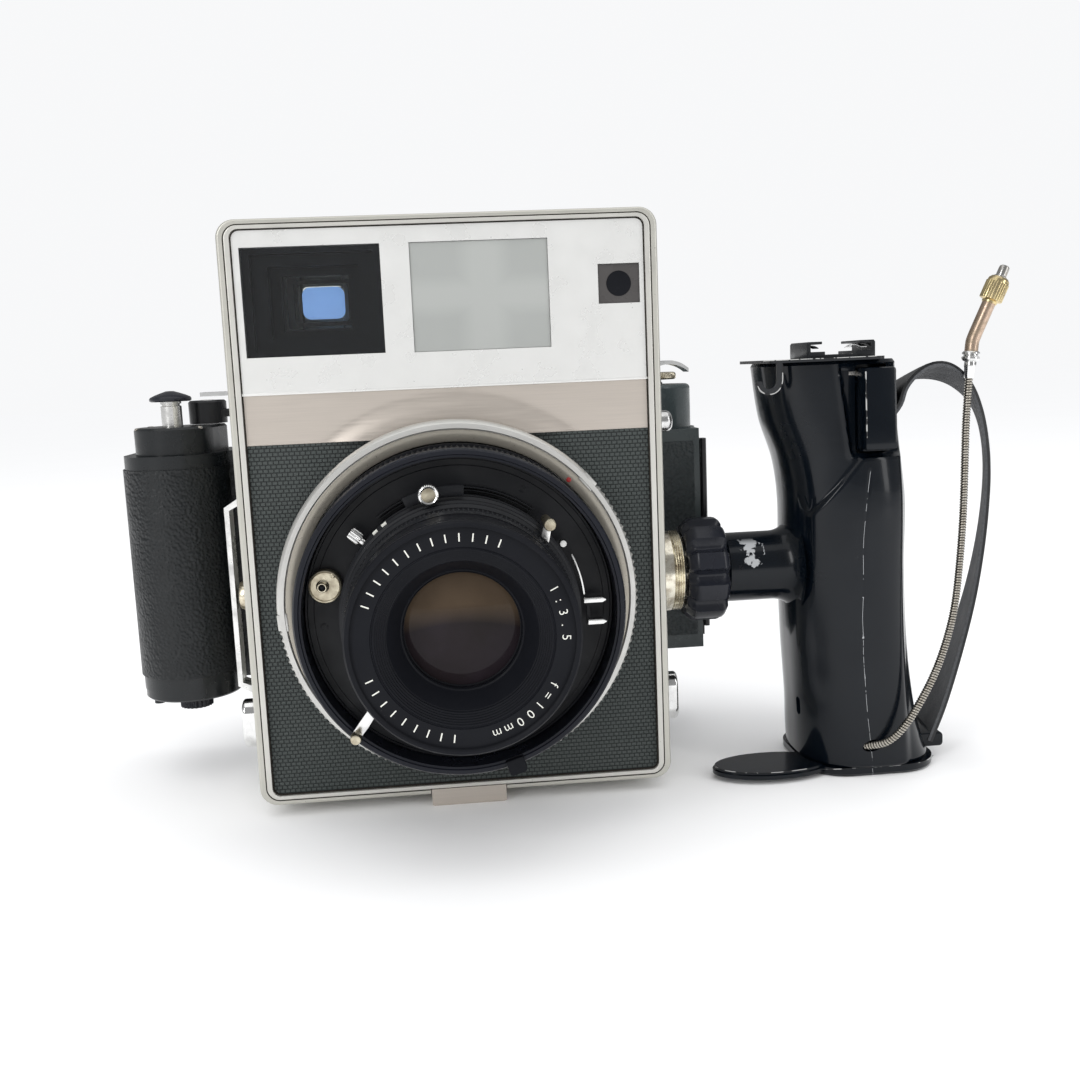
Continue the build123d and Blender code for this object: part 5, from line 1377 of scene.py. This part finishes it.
def make_wear_and_highlight_edges():
    """Light lines along the edges of the top plate, its hook, the foot plate and its tongue: enamel wear,
    with a painted highlight along the hook and the foot plate.
    """
    plate_y, plate_z = low("shoe_plate").y, high("shoe_plate").z
    left, right = low("shoe_plate").x, high("shoe_plate").x
    wear_and_highlight_line("plate_edge", [(left + 2.0, plate_y, plate_z - 0.1), (left + 12, plate_y, plate_z - 0.05),
                          (left + 22, plate_y, plate_z - 0.1), (right - 3, plate_y, plate_z - 0.05)])
    hook = [(91.6 + 3.8 * cos(radians(angle)), plate_y, 119.4 + 3.8 * sin(radians(angle)))
            for angle in range(-175, 1, 25)]
    # The hook's line is enamel wear together with a painted highlight.
    wear_and_highlight_line("hook_edge", hook + [(95.4, plate_y, 122.0), (95.4, plate_y, 124.0)], width=0.15)
    # Painted highlight along the top edge of the foot plate.
    foot_z = 2.75
    wear_and_highlight_line("foot_highlight_line", [(106.0, -13.4, foot_z), (112.0, -14.55, foot_z), (124.0, -14.75, foot_z),
                         (134.0, -14.6, foot_z), (140.0, -12.4, foot_z), (143.0, -8.6, foot_z)])
    tongue = [(92.5 + 17.45 * cos(radians(angle)), -6.5 + 9.05 * sin(radians(angle)), 3.62)
              for angle in range(180, 301, 15)]
    wear_and_highlight_line("tongue_edge", tongue)


def make_grip_shoe():
    """Black accessory shoe on the grip: folded rails, a bowed spring leaf each side, a floor and four screws.
    """
    x, z = middle("grip_shoe").x, low("grip_shoe").z
    y0, y1 = low("grip_shoe").y, high("grip_shoe").y
    half = 9.3
    parts = []
    for side in (-1, 1):
        rail = [(side * (half + 1.3), 0.0), (side * (half + 1.3), 4.3), (side * (half + 0.9), 4.9),
                (side * (half - 3.5), 4.9), (side * (half - 3.5), 4.1), (side * half, 4.0),
                (side * half, 1.9),
                (side * (half - 4.4), 1.9), (side * (half - 4.4), 0.0)]
        parts.append(prism("shoe_rail_" + ("left" if side < 0 else "right"), rail, -y1, -y0, "cap_black",
                           BODY, bevel=0.18, origin=(x, 0, z)))
        leaf = []
        for step in range(9):
            across = (step - 4) / 4
            leaf.append((across * 7.0, 3.95 - 0.9 * across * across))
        leaf += [(a, b - 0.25) for a, b in reversed(leaf)]
        parts.append(prism("shoe_spring_" + ("left" if side < 0 else "right"), leaf,
                           side * (half - 1.8) - 1.0,
                           side * (half - 1.8) + 1.0, "chrome" if side > 0 else "cap_black", BODY, FROM_RIGHT,
                           0.06, (x, (y0 + y1) / 2, z)))
    base = prism("shoe_floor", rounded(2 * half + 1.6, y1 - y0, 0.8, 3), 0.0, 1.0, "cap_black", BODY,
                 FROM_ABOVE,
                 0.15, (x, (y0 + y1) / 2, z))
    parts.append(base)
    for part in parts:
        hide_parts("grip_shoe")
    for index, (dx, dy) in enumerate(((-5.5, 4.5), (5.5, 4.5), (-5.5, 12.0), (5.5, 12.0))):
        head = screw(f"shoe_screw_{index + 1}", (x + dx, y0 + dy, z + 1.02), 1.3, "steel", BODY, FROM_ABOVE,
                     25 * index)


# ---------------------------------------------------------------- bellows and film holder
def make_bellows():
    """Folded cloth sleeve, as long as the CAD bellows."""
    y0, y1 = low("bellows").y + 0.3, high("bellows").y + 0.1
    half_w, half_h, depth, pleats, inset = 43.0, 29.5, 2.3, 6, 1.2
    rows, ring = [], None
    for fold in range(2 * pleats + 1):
        grow = -depth if fold % 2 else 0.0
        ring = rounded(2 * (half_w + grow), 2 * (half_h + grow), 2.0, 3)
        y = y0 + (y1 - y0) * fold / (2 * pleats)
        rows.append([(a, y, LENS_Z + b) for a, b in ring])
    count = len(ring)
    points = [point for row in rows for point in row]
    inner = [(x - inset * (1 if x > 0 else -1), y, z - inset * (1 if z > LENS_Z else -1))
             for x, y, z in points]
    faces = []
    offset = len(points)
    for row in range(len(rows) - 1):
        for corner in range(count):
            after = (corner + 1) % count
            a, b = row * count + corner, row * count + after
            faces.append((a, b, b + count, a + count))
            faces.append((offset + a, offset + a + count, offset + b + count, offset + b))
    for row in (0, len(rows) - 1):
        for corner in range(count):
            after = (corner + 1) % count
            a, b = row * count + corner, row * count + after
            faces.append((a, b, offset + b, offset + a))
    sleeve = piece("bellows_sleeve", points + inner, faces, "bellows", None, 20)
    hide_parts("bellows")
    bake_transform(sleeve)


def make_holder_trim():
    """Small parts of the film holder: knobs, screws, milled counter wheel and lever pivot."""
    tx, ty = TAKE_UP.x, TAKE_UP.y
    cap = [(0, 121.2), (5.9, 120.4), (6.4, 120.7), (6.45, 121.3), (6.1, 121.8), (4.6, 122.5), (2.6, 123.2),
           (1.2, 123.65), (0, 123.7)]
    knob = turned("pull_cap", cap, "knob_black", "pull_knob", (tx, ty, 0), FROM_ABOVE, 96)
    shaft = turned("pull_shaft", [(0, 103.0), (3.2, 103.0), (3.2, 118.9), (2.7, 119.1), (2.7, 119.5),
                                  (3.2, 119.7),
                                  (3.2, 121.0), (0, 121.0)], "satin_chrome", "pull_knob", (tx, ty, 0),
                   FROM_ABOVE, 64)
    stand_for("pull_knob", knob, shaft)
    sx, sy = SUPPLY.x, SUPPLY.y
    wheel = [(0, 120.3), (9.0, 120.3), (9.5, 120.6), (9.6, 121.0), (9.6, 122.1), (9.3, 122.6), (8.8, 122.8),
             (6.0, 122.8), (5.8, 122.5), (2.0, 122.5), (1.8, 122.8), (0, 122.8)]
    milled = turned("counter_disc", wheel, "pale_brass", "counter_wheel", (sx, sy, 0), FROM_ABOVE, 720,
                    teeth=(9.4, 72, 0.35, 0, 360), crease=45)
    collar = turned("counter_collar", [(0, 104.5), (5.0, 104.5), (5.0, 119.2), (4.6, 119.5), (4.6, 120.4),
                                       (0, 120.4)], "knob_black", "counter_wheel", (sx, sy, 0), FROM_ABOVE,
                                       96)
    stand_for("counter_wheel", milled, collar)
    pivot = high("advance_lever").z
    lever = Vector((-77.6, 47.4, 0))
    head = screw("lever_screw", (lever.x, lever.y, pivot + 0.05), 2.6, "chrome", "advance_lever",
                 FROM_ABOVE, 15)
    for index, (dx, dy) in enumerate(((-9.5, -5.0), (-8.5, 7.0), (9.5, -7.0))):
        cap_screw = screw(f"cap_screw_{index + 1}", (tx + dx, ty + dy, 112.52), 1.1, "steel", HOLDER,
                          FROM_ABOVE, 40 * index)


def make_back_trim():
    """Back of the holder: raised metal border round the leather panel, and a framed film reminder with its
    card.
    """
    z0, z1 = low("holder_body").z, high("holder_body").z
    middle_z = (z0 + z1) / 2
    back_view = (Vector((-1, 0, 0)), Vector((0, 0, 1)), Vector((0, 1, 0)))
    panel_x0, panel_x1 = -98.0, 50.0
    width, centre = panel_x1 - panel_x0, (panel_x0 + panel_x1) / 2
    cover = "holder_cover"
    frame_outer = prism("back_border", rounded(width, z1 - z0 - 4, 5), 61.0, 61.7, "cap_black", cover,
                        back_view, 0.3, (centre, 0, middle_z))
    hole = prism("hole", rounded(width - 5, z1 - z0 - 9, 3.5), 60, 63, "cap_black", cover, back_view, 0,
                 (centre, 0, middle_z))
    cut(frame_outer, hole)
    reminder = prism("film_reminder", rounded(34, 26, 1.5), 61.0, 61.9, "satin_chrome", cover, back_view,
                     0.25, (-40, 0, middle_z))
    window = prism("hole", rounded(28, 20, 1.0), 61.4, 63, "satin_chrome", cover, back_view, 0,
                   (-40, 0, middle_z))
    cut(reminder, window)
    card = prism("reminder_card", rounded(27.6, 19.6, 0.8), 61.2, 61.45, "white_ink", cover, back_view, 0.05,
                 (-40, 0, middle_z))


def main():
    make_camera()
    make_cable()
    make_strap()
    make_studio()
    dress_cad()
    make_breech_ring()
    make_focus_ring()
    make_pan()
    make_shutter()
    make_front_cell()
    make_front_glass()
    make_sync_terminal()
    make_levers()
    make_finder()
    make_face_trim()
    make_grip()
    make_lock_knob()
    make_trigger()
    make_wear_and_highlight_edges()
    make_grip_shoe()
    make_bellows()
    make_holder_trim()
    make_back_trim()


main()
bpy.context.view_layer.update()
